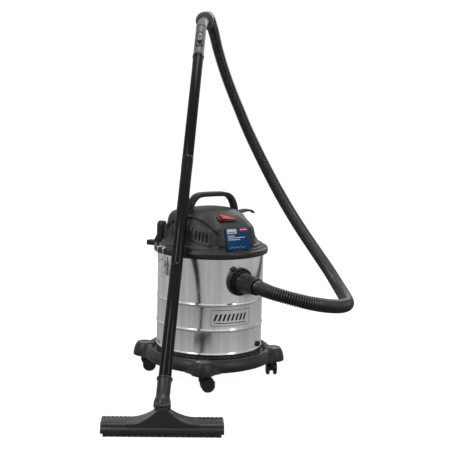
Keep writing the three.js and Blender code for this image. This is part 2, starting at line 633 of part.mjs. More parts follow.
/** Floor tool: a low deck with a peaked crown that holds the neck's ball, open to the floor below. */
function makeFloorTool() {
  const group = new THREE.Group();
  group.position.set(tool.centre[0], tool.centre[1], 0);
  group.rotation.z = degrees(tool.turn);
  root.add(group);
  const { width, depth, base, deck, crown, ball } = tool;
  const plate = prism(roundedOutline(width, depth, 10, 3), base, deck);
  const peak = [[-88, deck - 4], [88, deck - 4], [50, deck + 7], [24, deck + 26], [9, crown],
    [-9, crown], [-24, deck + 26], [-50, deck + 7]];
  const crownBody = moved(solid(geometryOf(prism(peak, -30, 32)).rotateX(Math.PI / 2)), 0, 1, 0);
  const mouth = block(width - 46, 24, 12, 0, 0, base + 5);
  group.updateMatrixWorld(true);
  const local = group.matrixWorld.clone().invert();
  const seat = pivot.clone().applyMatrix4(local).toArray();
  let cut = moved(solid(new THREE.SphereGeometry(ball + 1.2, 14, 8)), ...seat);
  for (const lean of [-2, 12, 28, 44, 50]) {
    const tip = [seat[0], seat[1] + 80 * Math.sin(degrees(lean)), seat[2] + 80 * Math.cos(degrees(lean))];
    cut = cut.add(bar(seat, tip, 15, 10)).add(aimed(disc(23, 15, 80, 12), seat, tip));
  }
  const throat = bar([0, seat[1], base - 2], seat, 11, 10);
  const body = union(plate, crownBody).subtract(mouth).subtract(cut).subtract(throat);
  add(group, "tool_body", body, blackPlastic);
  const strip = block(width - 12, 4.5, base - GAP, 0, 0, (base - GAP) / 2);
  add(group, "front_strip", moved(strip, 0, 4.5 - depth / 2, 0), rubber);
  add(group, "rear_strip", moved(strip, 0, depth / 2 - 4.5, 0), rubber);
}

/** Cuff that plugs the hose into the inlet. */
function makeInletCuff() {
  const { height, bore, cuffRadius } = inlet;
  const start = drum.radius + 1.9;
  const plug = bore - 3 * GAP;
  const cuff = turned([[0, -28], [plug, -28], [plug, 13.4], [cuffRadius, 13.4],
    [cuffRadius, 28], [cuffRadius - 4.6, 84], [cuffRadius - 4.6, 88], [0, 88]], 18);
  const hollow = disc(18.5, -29, 70, 12);
  add(vacuum, "hose_cuff_inlet",
    aimed(cuff.subtract(hollow), [0, -start, height], [0, -300, height]), blackPlastic);
}

/** Cuff on the bent end of the wand handle, with a wide finger flange. */
function makeHandleCuff() {
  const path = handlePath().map((p) => wandAxis.localToWorld(new THREE.Vector3(...p)));
  const end = path[path.length - 1];
  const before = path[path.length - 2];
  const onward = end.clone().add(end.clone().sub(before));
  const cuff = turned([[0, GAP], [handle.radius + 1, GAP], [handle.radius + 1, -20], [28, -20],
    [30, -17], [30, -12], [24, -8], [23, 40], [0, 40]], 18);
  add(root, "hose_cuff_handle", aimed(cuff, end.toArray(), onward.toArray()), blackPlastic);
}

function makeHose() {
  add(root, "hose", swept(hoseRoute, circleOutline(hoseRadius, 8), 40), blackPlastic);
}

makeDolly();
makeCasters();
makeDrum();
makeInlet();
makeDrain();
makeLatches();
makeHeadShells();
makeCarryHandle();
makeSwitch();
makeLabelPlate();
makeHooks();
makeMotor();
makeFilterAndFloat();
makeWandTubes();
makeWandHandle();
makeToolNeck();
makeFloorTool();
makeInletCuff();
makeHandleCuff();
makeHose();

/** Puts the origin on the floor at the middle of the object's box, the hose and its cuffs left out. */
function centred() {
  const part = new THREE.Group();
  root.updateMatrixWorld(true);
  const box = new THREE.Box3();
  root.traverse((piece) => {
    if (piece.isMesh && !cordNames.includes(piece.name)) box.expandByObject(piece, true);
  });
  const middle = box.getCenter(new THREE.Vector3());
  root.position.set(-middle.x, -middle.y, -box.min.z);
  part.add(root);
  return part;
}

export default centred();
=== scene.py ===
"""Looks of a wheeled wet-and-dry shop vacuum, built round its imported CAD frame."""

import functools
import math

import bmesh
import bpy
from mathutils import Matrix, Vector


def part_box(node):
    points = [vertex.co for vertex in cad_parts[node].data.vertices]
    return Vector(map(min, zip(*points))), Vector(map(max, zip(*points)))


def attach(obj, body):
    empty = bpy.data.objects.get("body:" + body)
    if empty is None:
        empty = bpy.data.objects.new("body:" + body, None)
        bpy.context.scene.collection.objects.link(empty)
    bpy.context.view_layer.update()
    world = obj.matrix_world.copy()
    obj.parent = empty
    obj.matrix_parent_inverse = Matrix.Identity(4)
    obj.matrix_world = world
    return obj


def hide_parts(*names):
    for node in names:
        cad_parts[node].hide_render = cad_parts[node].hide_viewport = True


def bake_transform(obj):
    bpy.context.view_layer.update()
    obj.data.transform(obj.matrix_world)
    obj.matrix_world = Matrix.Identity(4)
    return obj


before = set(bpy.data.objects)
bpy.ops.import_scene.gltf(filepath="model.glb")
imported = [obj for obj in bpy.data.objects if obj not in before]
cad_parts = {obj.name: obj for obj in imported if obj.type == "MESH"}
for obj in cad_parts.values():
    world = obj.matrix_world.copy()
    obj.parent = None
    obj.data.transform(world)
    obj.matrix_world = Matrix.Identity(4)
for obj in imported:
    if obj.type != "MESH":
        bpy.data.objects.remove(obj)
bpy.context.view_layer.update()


def add_object(name, data):
    obj = bpy.data.objects.new(name, data)
    bpy.context.scene.collection.objects.link(obj)
    return obj


# ---- Frames: shapes are written in millimetres in the frame they are named for ------------------
FRONT_TURN = 32.6  # degrees, the vacuum's front measured from -Y towards +X
low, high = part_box("drum")
AXIS = Vector(((low[0] + high[0]) / 2, (low[1] + high[1]) / 2, 0))


def turn(axis, degrees):
    return Matrix.Rotation(math.radians(degrees), 4, axis)


def shift(x, y, z):
    return Matrix.Translation(Vector((x, y, z)) / 1000)


def aim(place, start, towards):
    """Frame at start whose +Z points towards a point, both in millimetres in the given frame."""
    along = Vector(towards) - Vector(start)
    spin = Vector((0, 0, 1)).rotation_difference(along).to_matrix().to_4x4()
    return place @ shift(*start) @ spin


HOME = Matrix.Translation(AXIS)
VACUUM = HOME @ turn("Z", FRONT_TURN)
PIVOT = (-103, -497, 40)
LEAN = (0.0366, 0.6868, 0.7259)
WAND = aim(HOME, PIVOT, [p + d for p, d in zip(PIVOT, LEAN)])
TOOL = HOME @ shift(-98, -517, 0) @ turn("Z", 3)


def around(angle, radius, z=0):
    """Point at an angle from -Y, measured towards +X."""
    return radius * math.sin(math.radians(angle)), -radius * math.cos(math.radians(angle)), z


# ---- Camera -------------------------------------------------------------------------------------
camera = add_object("camera", bpy.data.cameras.new("camera"))
camera.data.lens = 80
camera.data.sensor_width = 36
camera.data.clip_end = 50
camera.matrix_world = HOME @ shift(38, -2814, 818) @ turn("X", 90 - 7.79) @ turn("Z", 1.57)
bpy.context.scene.camera = camera


# ---- Shape helpers ------------------------------------------------------------------------------
class Shape:
    """Vertices in millimetres and faces, gathered from several closed forms."""

    def __init__(self):
        self.vertices = []
        self.faces = []

    def add(self, vertices, faces, place=None):
        first = len(self.vertices)
        if place is not None:
            vertices = [1000 * (place @ (Vector(v) / 1000)) for v in vertices]
        self.vertices += [tuple(v) for v in vertices]
        self.faces += [[first + i for i in face] for face in faces]
        return self


def join_rings(rings, closed=False, caps=True):
    """Vertices and faces of rings with equal counts, joined one to the next."""
    count = len(rings[0])
    vertices = [v for ring in rings for v in ring]
    faces = []
    steps = len(rings) if closed else len(rings) - 1
    for k in range(steps):
        a, b = k * count, ((k + 1) % len(rings)) * count
        for i in range(count):
            j = (i + 1) % count
            faces.append([a + i, a + j, b + j, b + i])
    if caps and not closed:
        faces.append(list(range(count))[::-1])
        faces.append([len(vertices) - count + i for i in range(count)])
    return vertices, faces


def lathe(profile, sides=64):
    """A closed profile, or one from axis to axis, of (radius, height) turned about Z."""
    closed = profile[0][0] > 1e-6
    body = profile if closed else profile[1:-1]
    angles = [2 * math.pi * i / sides for i in range(sides)]
    rings = [[(r * math.cos(a), r * math.sin(a), z) for a in angles] for r, z in body]
    vertices, faces = join_rings(rings, closed, caps=False)
    if not closed:
        for ring, (_, z) in ((0, profile[0]), (len(rings) - 1, profile[-1])):
            centre = len(vertices)
            vertices.append((0, 0, z))
            start = ring * sides
            faces += [[start + i, start + (i + 1) % sides, centre] for i in range(sides)]
    return vertices, faces


def fillet(points, radius, steps=5):
    """An open path with its inner corners rounded."""
    path = [Vector(points[0])]
    for before, corner, after in zip(points, points[1:], points[2:]):
        before, corner, after = Vector(before), Vector(corner), Vector(after)
        reach = min(radius, (before - corner).length * 0.48, (after - corner).length * 0.48)
        a = corner + (before - corner).normalized() * reach
        b = corner + (after - corner).normalized() * reach
        for i in range(steps + 1):
            t = i / steps
            path.append(a * (1 - t) ** 2 + corner * 2 * t * (1 - t) + b * t * t)
    path.append(Vector(points[-1]))
    return path


def smooth_path(points, steps):
    """Catmull-Rom curve through the points, at even spacing."""
    points = [Vector(p) for p in points]
    ends = [2 * points[0] - points[1]] + points + [2 * points[-1] - points[-2]]
    dense = []
    for p0, p1, p2, p3 in zip(ends, ends[1:], ends[2:], ends[3:]):
        for i in range(24):
            t = i / 24
            dense.append(0.5 * (2 * p1 + (p2 - p0) * t + (2 * p0 - 5 * p1 + 4 * p2 - p3) * t * t
                                + (3 * p1 - p0 - 3 * p2 + p3) * t ** 3))
    dense.append(points[-1])
    return evenly(dense, steps)


def evenly(dense, steps):
    """The same path with its points a constant distance apart."""
    lengths = [0]
    for a, b in zip(dense, dense[1:]):
        lengths.append(lengths[-1] + (b - a).length)
    result = []
    k = 0
    for i in range(steps + 1):
        target = lengths[-1] * i / steps
        while k < len(dense) - 2 and lengths[k + 1] < target:
            k += 1
        span = max(lengths[k + 1] - lengths[k], 1e-9)
        result.append(dense[k].lerp(dense[k + 1], (target - lengths[k]) / span))
    return result


def sweep(path, outline, closed=False, size=lambda t: 1, up=(0, 0, 1)):
    """An outline carried along a path without twisting. Its y axis starts along up."""
    path = [Vector(p) for p in path]
    count = len(path)
    tangents = []
    for i in range(count):
        a = path[i - 1] if i or closed else path[0]
        b = path[(i + 1) % count] if i < count - 1 or closed else path[-1]
        tangents.append((b - a).normalized())
    normal = Vector(up) - tangents[0] * tangents[0].dot(Vector(up))
    normal.normalize()
    rings = []
    for i, (point, tangent) in enumerate(zip(path, tangents)):
        if i:
            normal = tangents[i - 1].rotation_difference(tangent) @ normal
            normal = (normal - tangent * tangent.dot(normal)).normalized()
        side = tangent.cross(normal)
        grow = size(i / max(count - 1, 1))
        rings.append([tuple(point + side * x * grow + normal * y * grow) for x, y in outline])
    return join_rings(rings, closed)


def arc(radius, first, step, count):
    """Points on a circle, at equal steps in degrees."""
    angles = [math.radians(first + step * k) for k in range(count)]
    return [(radius * math.cos(a), radius * math.sin(a)) for a in angles]


def circle(radius, sides=16):
    return [(radius * math.cos(2 * math.pi * i / sides), radius * math.sin(2 * math.pi * i / sides))
            for i in range(sides)]


def rounded(width, depth, corner, steps=5):
    """Outline of a rectangle with rounded corners."""
    points = []
    for k, (sx, sy) in enumerate(((1, 1), (-1, 1), (-1, -1), (1, -1))):
        for i in range(steps + 1):
            a = (k + i / steps) * math.pi / 2
            points.append((sx * (width / 2 - corner) + corner * math.cos(a),
                           sy * (depth / 2 - corner) + corner * math.sin(a)))
    return points


def prism(outline, low, high, edge=0.0, steps=2):
    """An outline raised from low to high, its top and bottom edges rounded by edge."""
    centre = Vector((sum(p[0] for p in outline), sum(p[1] for p in outline))) / len(outline)
    levels = [(edge, low)]
    levels += [(edge * (1 - math.sin(a)), low + edge * (1 - math.cos(a)))
               for a in (math.pi / 2 * i / steps for i in range(1, steps + 1))]
    levels += [(edge * (1 - math.sin(a)), high - edge * (1 - math.cos(a)))
               for a in (math.pi / 2 * i / steps for i in range(steps, 0, -1))]
    levels += [(edge, high)]
    if edge == 0:
        levels = [(0, low), (0, high)]
    rings = []
    for inset, z in levels:
        ring = []
        for x, y in outline:
            out = Vector((x, y)) - centre
            out = out * (1 - inset / max(out.length, inset + 1e-6))
            ring.append((centre.x + out.x, centre.y + out.y, z))
        rings.append(ring)
    return join_rings(rings)


def box(sx, sy, sz, x=0, y=0, z=0, edge=0.6, corner=None):
    """A block with rounded edges, centred on a point."""
    corner = min(sx, sy) * 0.12 if corner is None else corner
    vertices, faces = prism(rounded(sx, sy, max(corner, 0.05), 3), z - sz / 2, z + sz / 2, edge)
    return [(a + x, b + y, c) for a, b, c in vertices], faces


def mesh_of(name, shape, place):
    """A mesh in metres of a shape, with its faces turned outwards."""
    mesh = bpy.data.meshes.new(name)
    mesh.from_pydata(shape.vertices, [], shape.faces)
    mesh.transform(place @ Matrix.Scale(0.001, 4))
    work = bmesh.new()
    work.from_mesh(mesh)
    bmesh.ops.recalc_face_normals(work, faces=work.faces)
    work.to_mesh(mesh)
    work.free()
    return mesh


def crease(mesh, sharp):
    """Breaks the shading at edges whose faces meet at more than this many degrees."""
    work = bmesh.new()
    work.from_mesh(mesh)
    for edge in work.edges:
        if len(edge.link_faces) == 2 and edge.calc_face_angle(0) > math.radians(sharp):
            edge.smooth = False
    work.to_mesh(mesh)
    work.free()


def piece(name, shape, place, material, body="vacuum", replaces=(), sharp=38):
    """Makes an object of a shape and lets it ride on a CAD body."""
    mesh = mesh_of(name, shape, place)
    for face in mesh.polygons:
        face.use_smooth = True
    crease(mesh, sharp)
    mesh.materials.append(material)
    obj = add_object(name, mesh)
    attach(obj, body)
    if replaces:
        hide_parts(*replaces)
    return obj


def cut(obj, shape, place, shells=False):
    """Takes a shape out of an object, which may be of shells that run into each other."""
    cutter = add_object("cutter", mesh_of("cutter", shape, place))
    modifier = obj.modifiers.new("cut", "BOOLEAN")
    modifier.object = cutter
    modifier.operation = "DIFFERENCE"
    modifier.solver = "EXACT"
    modifier.use_self = shells
    bpy.context.view_layer.update()
    result = bpy.data.meshes.new_from_object(obj.evaluated_get(bpy.context.evaluated_depsgraph_get()))
    obj.modifiers.clear()
    obj.data = result
    bpy.data.objects.remove(cutter)
    crease(result, 38)


def wired_maths(tree, operation, *values):
    """A Math node; each value is a number or another node's output."""
    node = tree.nodes.new("ShaderNodeMath")
    node.operation = operation
    for socket, value in zip(node.inputs, values):
        if isinstance(value, (int, float)):
            socket.default_value = value
        else:
            tree.links.new(value, socket)
    return node.outputs[0]


# ---- Materials ----------------------------------------------------------------------------------
class Nodes:
    """Short words for building a material's node tree."""

    def __init__(self, name):
        self.material = bpy.data.materials.new(name)
        self.material.use_nodes = True
        self.tree = self.material.node_tree
        self.shader = self.tree.nodes["Principled BSDF"]
        self.place = self.make("ShaderNodeTexCoord").outputs["Object"]

    def make(self, kind, **values):
        node = self.tree.nodes.new(kind)
        for key, value in values.items():
            setattr(node, key, value)
        return node

    def link(self, source, target):
        self.tree.links.new(source, target)

    def set(self, **values):
        for key, value in values.items():
            self.shader.inputs[key.replace("_", " ")].default_value = value

    def stretched(self, x, y, z):
        node = self.make("ShaderNodeMapping")
        node.inputs["Scale"].default_value = (x, y, z)
        self.link(self.place, node.inputs["Vector"])
        return node.outputs["Vector"]

    def noise(self, scale, detail=3, vector=None, roughness=0.5):
        node = self.make("ShaderNodeTexNoise")
        node.inputs["Scale"].default_value = scale
        node.inputs["Detail"].default_value = detail
        node.inputs["Roughness"].default_value = roughness
        self.link(vector or self.place, node.inputs["Vector"])
        return node.outputs["Fac"]

    def span(self, value, low, high, out_low, out_high):
        node = self.make("ShaderNodeMapRange")
        limits = {"From Min": low, "From Max": high, "To Min": out_low, "To Max": out_high}
        for key, number in limits.items():
            node.inputs[key].default_value = number
        self.link(value, node.inputs["Value"])
        return node.outputs["Result"]

    def maths(self, operation, a, b=0.0):
        return wired_maths(self.tree, operation, a, b)

    def mix(self, factor, a, b):
        node = self.make("ShaderNodeMix", data_type="RGBA")
        for socket, value in zip((node.inputs[0], node.inputs[6], node.inputs[7]), (factor, a, b)):
            if isinstance(value, (int, float)):
                socket.default_value = value
            elif isinstance(value, tuple):
                socket.default_value = (*value, 1)
            else:
                self.link(value, socket)
        return node.outputs[2]

    def bump(self, height, strength, distance):
        node = self.make("ShaderNodeBump")
        node.inputs["Strength"].default_value = strength
        node.inputs["Distance"].default_value = distance
        self.link(height, node.inputs["Height"])
        self.link(node.outputs["Normal"], self.shader.inputs["Normal"])

    def colour(self, source):
        self.link(source, self.shader.inputs["Base Color"])

    def rough(self, source):
        self.link(source, self.shader.inputs["Roughness"])


def shade(colour, factor):
    return tuple(min(c * factor, 1) for c in colour)


def moulded(name, colour, rough, grain=1400, depth=0.12, gloss=0.5):
    """Moulded plastic: fine spark-eroded grain, faint cloudy tone and rubbed patches."""
    n = Nodes(name)
    cloud = n.noise(14, 4)
    fine = n.noise(grain, 2)
    rub = n.noise(38, 5, roughness=0.65)
    tone = n.mix(n.span(cloud, 0.3, 0.7, 0, 1), shade(colour, 0.86), shade(colour, 1.14))
    speck = n.span(fine, 0.62, 0.8, 0, 0.35)
    n.colour(n.mix(speck, tone, shade(colour, 1.5)))
    n.rough(n.span(rub, 0.3, 0.75, rough + 0.06, rough - 0.08))
    n.bump(fine, depth, 0.0002)
    n.set(Specular_IOR_Level=gloss)
    return n.material


def glossy(name, colour, rough):
    """Polished plastic: almost smooth, with haze and hair scratches along its length."""
    n = Nodes(name)
    haze = n.noise(24, 5, roughness=0.6)
    dust = n.noise(900, 2)
    tone = n.mix(n.span(dust, 0.66, 0.8, 0, 0.25), colour, shade(colour, 2.2))
    n.colour(tone)
    n.rough(n.span(haze, 0.3, 0.7, rough, rough + 0.12))
    n.bump(n.noise(260, 3), 0.03, 0.0002)
    n.set(Specular_IOR_Level=0.16)
    return n.material


def metal(name, colour, rough, grain=(60, 60, 60), fine=400):
    """Bare or plated metal with fine drawing lines."""
    n = Nodes(name)
    lines = n.noise(fine, 3, n.stretched(*(g / 60 for g in grain)))
    cloud = n.noise(18, 4)
    n.colour(n.mix(n.span(cloud, 0.3, 0.7, 0, 1), shade(colour, 0.92), shade(colour, 1.04)))
    n.rough(n.span(lines, 0.3, 0.7, rough, rough + 0.1))
    n.bump(lines, 0.04, 0.0001)
    n.set(Metallic=1)
    return n.material


def soft_rubber(name, colour=(0.028, 0.028, 0.03)):
    n = Nodes(name)
    fine = n.noise(1900, 3)
    bloom = n.noise(45, 5, roughness=0.7)
    n.colour(n.mix(n.span(bloom, 0.4, 0.75, 0, 1), colour, shade(colour, 1.9)))
    n.rough(n.span(bloom, 0.3, 0.7, 0.72, 0.9))
    n.bump(fine, 0.25, 0.0003)
    return n.material


def open_foam():
    n = Nodes("open_foam")
    cells = n.make("ShaderNodeTexVoronoi")
    cells.inputs["Scale"].default_value = 700
    n.link(n.place, cells.inputs["Vector"])
    n.colour(n.mix(cells.outputs["Distance"], (0.01, 0.01, 0.01), (0.06, 0.06, 0.062)))
    n.bump(cells.outputs["Distance"], 0.8, 0.001)
    n.set(Roughness=0.95)
    return n.material


# ---- Hose: the route of the CAD hose, in millimetres from the drum's axis -----------------------
HOSE_ROUTE = [
    (129.7, -202.8, 296), (137.2, -214.6, 296), (155, -234, 292), (188, -249, 285), (229, -255, 276),
    (271, -249, 266), (312, -230, 257), (345, -201, 250), (368, -163, 245), (380, -117, 241),
    (384, -62, 239), (384, 5, 240), (377, 100, 249), (359, 212, 274), (326, 326, 316),
    (288, 421, 366), (250, 502, 421), (213, 570, 480), (177, 623, 543), (142, 663, 608),
    (108, 691, 675), (77, 708, 744), (47, 714, 812), (20, 711, 881), (-2, 700, 947),
    (-16, 682, 998), (-26, 653, 1030), (-34, 617, 1050), (-38.2, 576.9, 1049.4), (-40.2, 558.25, 1045.2),
]
HOSE_RADIUS = 19
RIB_PITCH = 6.6


def make_hose():
    centre_line = smooth_path(HOSE_ROUTE, 300)
    length = sum((b - a).length for a, b in zip(centre_line, centre_line[1:]))
    ribs = round(length / RIB_PITCH)
    profile = (0.84, 0.95, 1.0, 0.95)  # valley, flank, crest, flank of each rib
    path = evenly(centre_line, ribs * 4)
    outline = circle(HOSE_RADIUS, 28)
    shape = Shape().add(*sweep(path, outline, size=lambda t: profile[round(t * ribs * 4) % 4]))
    hose_black = moulded("hose_black", (0.006, 0.006, 0.007), 0.26, grain=500, depth=0.03, gloss=0.6)
    hose = piece("ribbed_hose", shape, HOME, hose_black, replaces=["hose"], sharp=80)
    hose.parent = None
    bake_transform(hose)
    route = [HOME @ (p / 1000) for p in centre_line]
    return hose, route, length / 1000


# ---- Materials of the object --------------------------------------------------------------------
HEAD_GREY = moulded("head_grey", (0.026, 0.026, 0.0275), 0.46, grain=1100, depth=0.16, gloss=0.38)
SATIN_BLACK = moulded("satin_black", (0.015, 0.015, 0.016), 0.38, grain=1300, depth=0.10, gloss=0.4)
DOLLY_BLACK = moulded("dolly_black", (0.018, 0.018, 0.019), 0.40, grain=800, depth=0.16, gloss=0.45)
TOOL_BLACK = moulded("tool_black", (0.013, 0.013, 0.014), 0.31, grain=1000, depth=0.08, gloss=0.5)
HANDLE_GREY = moulded("handle_grey", (0.125, 0.127, 0.13), 0.34, grain=1200, depth=0.08)
CAP_GREY = moulded("cap_grey", (0.13, 0.13, 0.135), 0.38, grain=900, depth=0.1)
PALE_GREY = moulded("pale_grey", (0.26, 0.27, 0.28), 0.5)
MOTOR_GREY = moulded("motor_grey", (0.09, 0.092, 0.096), 0.5)
RIM_BLACK = moulded("rim_black", (0.014, 0.014, 0.015), 0.34, grain=1000, depth=0.05, gloss=0.4)
TUBE_BLACK = glossy("tube_black", (0.004, 0.004, 0.005), 0.08)
ROCKER_RED = moulded("rocker_red", (0.56, 0.018, 0.026), 0.42, grain=900, depth=0.05, gloss=0.4)
CHROME = metal("chrome", (0.82, 0.83, 0.84), 0.07, grain=(60, 60, 60), fine=220)
AXLE_STEEL = metal("axle_steel", (0.5, 0.5, 0.52), 0.3)
LAMINATED = metal("laminated_steel", (0.34, 0.35, 0.36), 0.42, grain=(4, 4, 240), fine=500)
COPPER = metal("winding_copper", (0.55, 0.23, 0.1), 0.35, grain=(200, 200, 30), fine=500)
FAN_METAL = metal("fan_metal", (0.62, 0.63, 0.65), 0.28)
RUBBER = soft_rubber("black_rubber")
FOAM = open_foam()


def drum_steel():
    """Brushed stainless sheet: fine lines round the drum, a printed outline, and painted reflection: soft
    light and dark vertical stripes in its colour round the drum.
    """
    n = Nodes("stainless_drum")
    local = n.make("ShaderNodeMapping", vector_type="POINT")
    local.inputs["Location"].default_value = -AXIS
    n.link(n.place, local.inputs["Vector"])
    parts = n.make("ShaderNodeSeparateXYZ")
    n.link(local.outputs["Vector"], parts.inputs["Vector"])
    x, y, z = parts.outputs
    azimuth = n.maths("ARCTAN2", x, n.maths("MULTIPLY", y, -1))
    round_about = n.make("ShaderNodeCombineXYZ")
    n.link(n.maths("MULTIPLY", azimuth, 0.15), round_about.inputs["X"])
    n.link(n.maths("MULTIPLY", z, 9), round_about.inputs["Z"])
    lines = n.noise(260, 4, round_about.outputs["Vector"], 0.6)
    # Painted reflection: soft vertical stripes, lighter and darker round the drum, that stand in for bright
    # and dark surroundings mirrored in the steel.
    reflection_stripe_coords = n.make("ShaderNodeCombineXYZ")
    n.link(n.maths("MULTIPLY", azimuth, 1), reflection_stripe_coords.inputs["X"])
    n.link(n.maths("MULTIPLY", z, 0.35), reflection_stripe_coords.inputs["Z"])
    painted_reflection = n.noise(3.2, 3, reflection_stripe_coords.outputs["Vector"], 0.6)
    cloud = n.noise(16, 5, roughness=0.6)
    # The base colour follows the painted reflection stripes, from dark to light steel.
    tone = n.mix(n.span(painted_reflection, 0.36, 0.64, 0, 1), (0.66, 0.665, 0.67), (0.96, 0.96, 0.96))
    tone = n.mix(n.span(cloud, 0.35, 0.7, 0, 0.35), tone, (0.80, 0.805, 0.81))
    n.colour(n.mix(printed_mark(n, azimuth, z), tone, (0.02, 0.02, 0.022)))
    n.rough(n.maths("ADD", n.span(lines, 0.3, 0.7, 0.11, 0.19), n.span(cloud, 0.4, 0.7, 0, 0.06)))
    n.bump(lines, 0.05, 0.00008)
    n.set(Metallic=1)
    return n.material


def printed_mark(n, azimuth, z):
    """1 on the lines of a plain printed panel on the drum: a thin frame, slanted blocks and rules."""
    centre, height = math.radians(FRONT_TURN - 7.5), 0.1955
    u = n.maths("MULTIPLY", n.maths("SUBTRACT", azimuth, centre), 0.150)
    v = n.maths("SUBTRACT", z, height)

    def inside(a, half_u, b, half_v):
        across = n.maths("LESS_THAN", n.maths("ABSOLUTE", a), half_u)
        upward = n.maths("LESS_THAN", n.maths("ABSOLUTE", b), half_v)
        return n.maths("MULTIPLY", across, upward)

    outer = inside(u, 0.060, v, 0.0225)
    inner = inside(u, 0.0588, v, 0.0213)
    frame_line = n.maths("SUBTRACT", outer, inner)
    slant = n.maths("SUBTRACT", u, n.maths("MULTIPLY", v, 0.35))
    wave = n.maths("SINE", n.maths("MULTIPLY", slant, 2 * math.pi / 0.0125))
    blocks = n.maths("MULTIPLY", n.maths("GREATER_THAN", wave, 0.05),
                     inside(slant, 0.050, n.maths("SUBTRACT", v, 0.0015), 0.0095))
    rule = inside(u, 0.047, n.maths("ADD", v, 0.0142), 0.0011)
    return n.maths("MINIMUM", n.maths("ADD", frame_line, n.maths("ADD", blocks, rule)), 1)


def label_paint():
    """Blue plate with plain blocks and rules where a printed plate carries its words."""
    n = Nodes("label_blue")
    local = n.make("ShaderNodeUVMap")
    parts = n.make("ShaderNodeSeparateXYZ")
    n.link(local.outputs["UV"], parts.inputs["Vector"])
    u, v = parts.outputs[0], parts.outputs[1]

    def patch(u0, u1, v0, v1):
        across = n.maths("MULTIPLY", n.maths("GREATER_THAN", u, u0), n.maths("LESS_THAN", u, u1))
        upward = n.maths("MULTIPLY", n.maths("GREATER_THAN", v, v0), n.maths("LESS_THAN", v, v1))
        return n.maths("MULTIPLY", across, upward)

    paper = n.noise(60, 4)
    tone = n.mix(n.span(paper, 0.3, 0.7, 0, 1), (0.004, 0.058, 0.180), (0.006, 0.070, 0.215))
    tone = n.mix(patch(0.58, 0.98, 0.84, 0.985), tone, (0.50, 0.02, 0.03))
    tone = n.mix(patch(0.63, 0.93, 0.895, 0.935), tone, (0.8, 0.8, 0.8))
    tone = n.mix(patch(0.05, 0.47, 0.75, 0.955), tone, (0.75, 0.76, 0.78))
    tone = n.mix(patch(0.09, 0.43, 0.79, 0.83), tone, (0.45, 0.03, 0.04))
    for k, (start, end) in enumerate(((0.06, 0.36), (0.06, 0.82), (0.06, 0.60))):
        top = 0.67 - 0.085 * k
        tone = n.mix(patch(start, end, top - 0.04, top), tone, (0.72, 0.74, 0.78))
    wave = n.maths("MULTIPLY", n.maths("SINE", n.maths("MULTIPLY", u, 34)), 0.028)
    off_wave = n.maths("SUBTRACT", v, n.maths("ADD", wave, 0.13))
    line = n.maths("LESS_THAN", n.maths("ABSOLUTE", off_wave), 0.01)
    tone = n.mix(n.maths("MULTIPLY", line, patch(0.08, 0.78, 0.02, 0.3)), tone, (0.55, 0.6, 0.68))
    n.colour(tone)
    n.rough(n.span(paper, 0.3, 0.7, 0.34, 0.46))
    n.bump(n.noise(800, 2), 0.04, 0.0001)
    n.set(Specular_IOR_Level=0.12)
    return n.material


# ---- Drum and dolly -----------------------------------------------------------------------------
def bead(z):
    """Raised bead in the drum's wall, from below to above."""
    return [(150, z - 5.5), (150.2, z - 4.2), (151, z - 2.8), (151.8, z - 1.2), (152, z),
            (151.8, z + 1.2), (151, z + 2.8), (150.2, z + 4.2), (150, z + 5.5)]


def make_drum():
    outer = bead(93) + bead(160) + bead(231)
    profile = [(0, 72), (140, 72), (145, 73), (148.5, 75.5), (149.7, 78), (150, 81)] + outer
    profile += [(150, 357), (148.4, 357), (148.4, 80), (147, 76), (143, 73.8), (0, 73.6)]
    shape = Shape().add(*lathe(profile, 192))
    piece("steel_drum", shape, VACUUM, drum_steel(), replaces=["drum"], sharp=50)


POD_TURNS = [-3.6 + 90 * k for k in range(4)]
POD_RADIUS = 185


def beam_outline(spread):
    """Section of the dolly's bowed beam: (radius, height) points, spread from 0 at a pod to 1."""
    out = 14 - 4 * spread
    return [(-13, 66), (-12, 57), (-8, 50), (-2, 47.6), (6, 47.6 + 2 * spread),
            (out - 3, 50 + 2 * spread), (out, 57 + spread), (out, 67), (out - 3, 75), (out - 7, 80),
            (2, 83), (-5, 83), (-10, 79), (-12.5, 73)]


def flare_shape():
    """Web on both sides of a pod where the beam widens to meet it, drawn for a pod at -Y."""
    rings = []
    for k in range(-12, 13):
        near = math.cos(math.radians(7.5 * k)) ** 1.5
        inner, outer, top = 176, 184 + 24 * near, 66 + 7 * near
        outline = [(inner, 48), (outer - 2, 48), (outer, 50), (outer - 2, top - 6), (outer - 6, top),
                   (inner, top + 1)]
        rings.append([around(1.3 * k, radius, z) for radius, z in outline])
    return join_rings(rings)


def make_dolly():
    rings = []
    for k in range(240):
        angle = 360 * k / 240
        nearest = min(abs((angle - pod + 180) % 360 - 180) for pod in POD_TURNS)
        spread = math.sin(math.radians(2 * nearest)) ** 2
        rings.append([around(angle, 171 + r, z) for r, z in beam_outline(spread)])
    shape = Shape().add(*join_rings(rings, closed=True))
    shelf = [(118, 60), (165, 60), (165, 71.4), (146, 71.4), (140, 69), (118, 69)]
    shape.add(*lathe(shelf, 120))
    pod = [(0, 47.6), (30, 47.6), (32.6, 48.4), (33, 50.5), (32.3, 58), (30.8, 66), (28.6, 73), (25.8, 79),
           (23.4, 82.6), (21.6, 84.6), (20.4, 85), (19.6, 84.6), (19.2, 82), (0, 82)]
    for angle in POD_TURNS:
        shape.add(*lathe(pod, 48), place=shift(*around(angle, POD_RADIUS)))
        shape.add(*flare_shape(), place=turn("Z", angle))
    piece("dolly_ring", shape, HOME, DOLLY_BLACK, replaces=["dolly_frame"])
    caps = Shape()
    cap = [(0, 84.2), (6, 84.2), (7, 83.7), (16, 83.9), (18.2, 83.4), (18.8, 82.6), (18.8, 82.05),
           (0, 82.05)]
    for angle in POD_TURNS:
        caps.add(*lathe(cap, 40), place=shift(*around(angle, POD_RADIUS)))
    piece("pod_caps", caps, HOME, CAP_GREY)


CASTER_TRAILS = (12, 96, 150, 4)  # degrees from +X that each caster's wheels trail towards


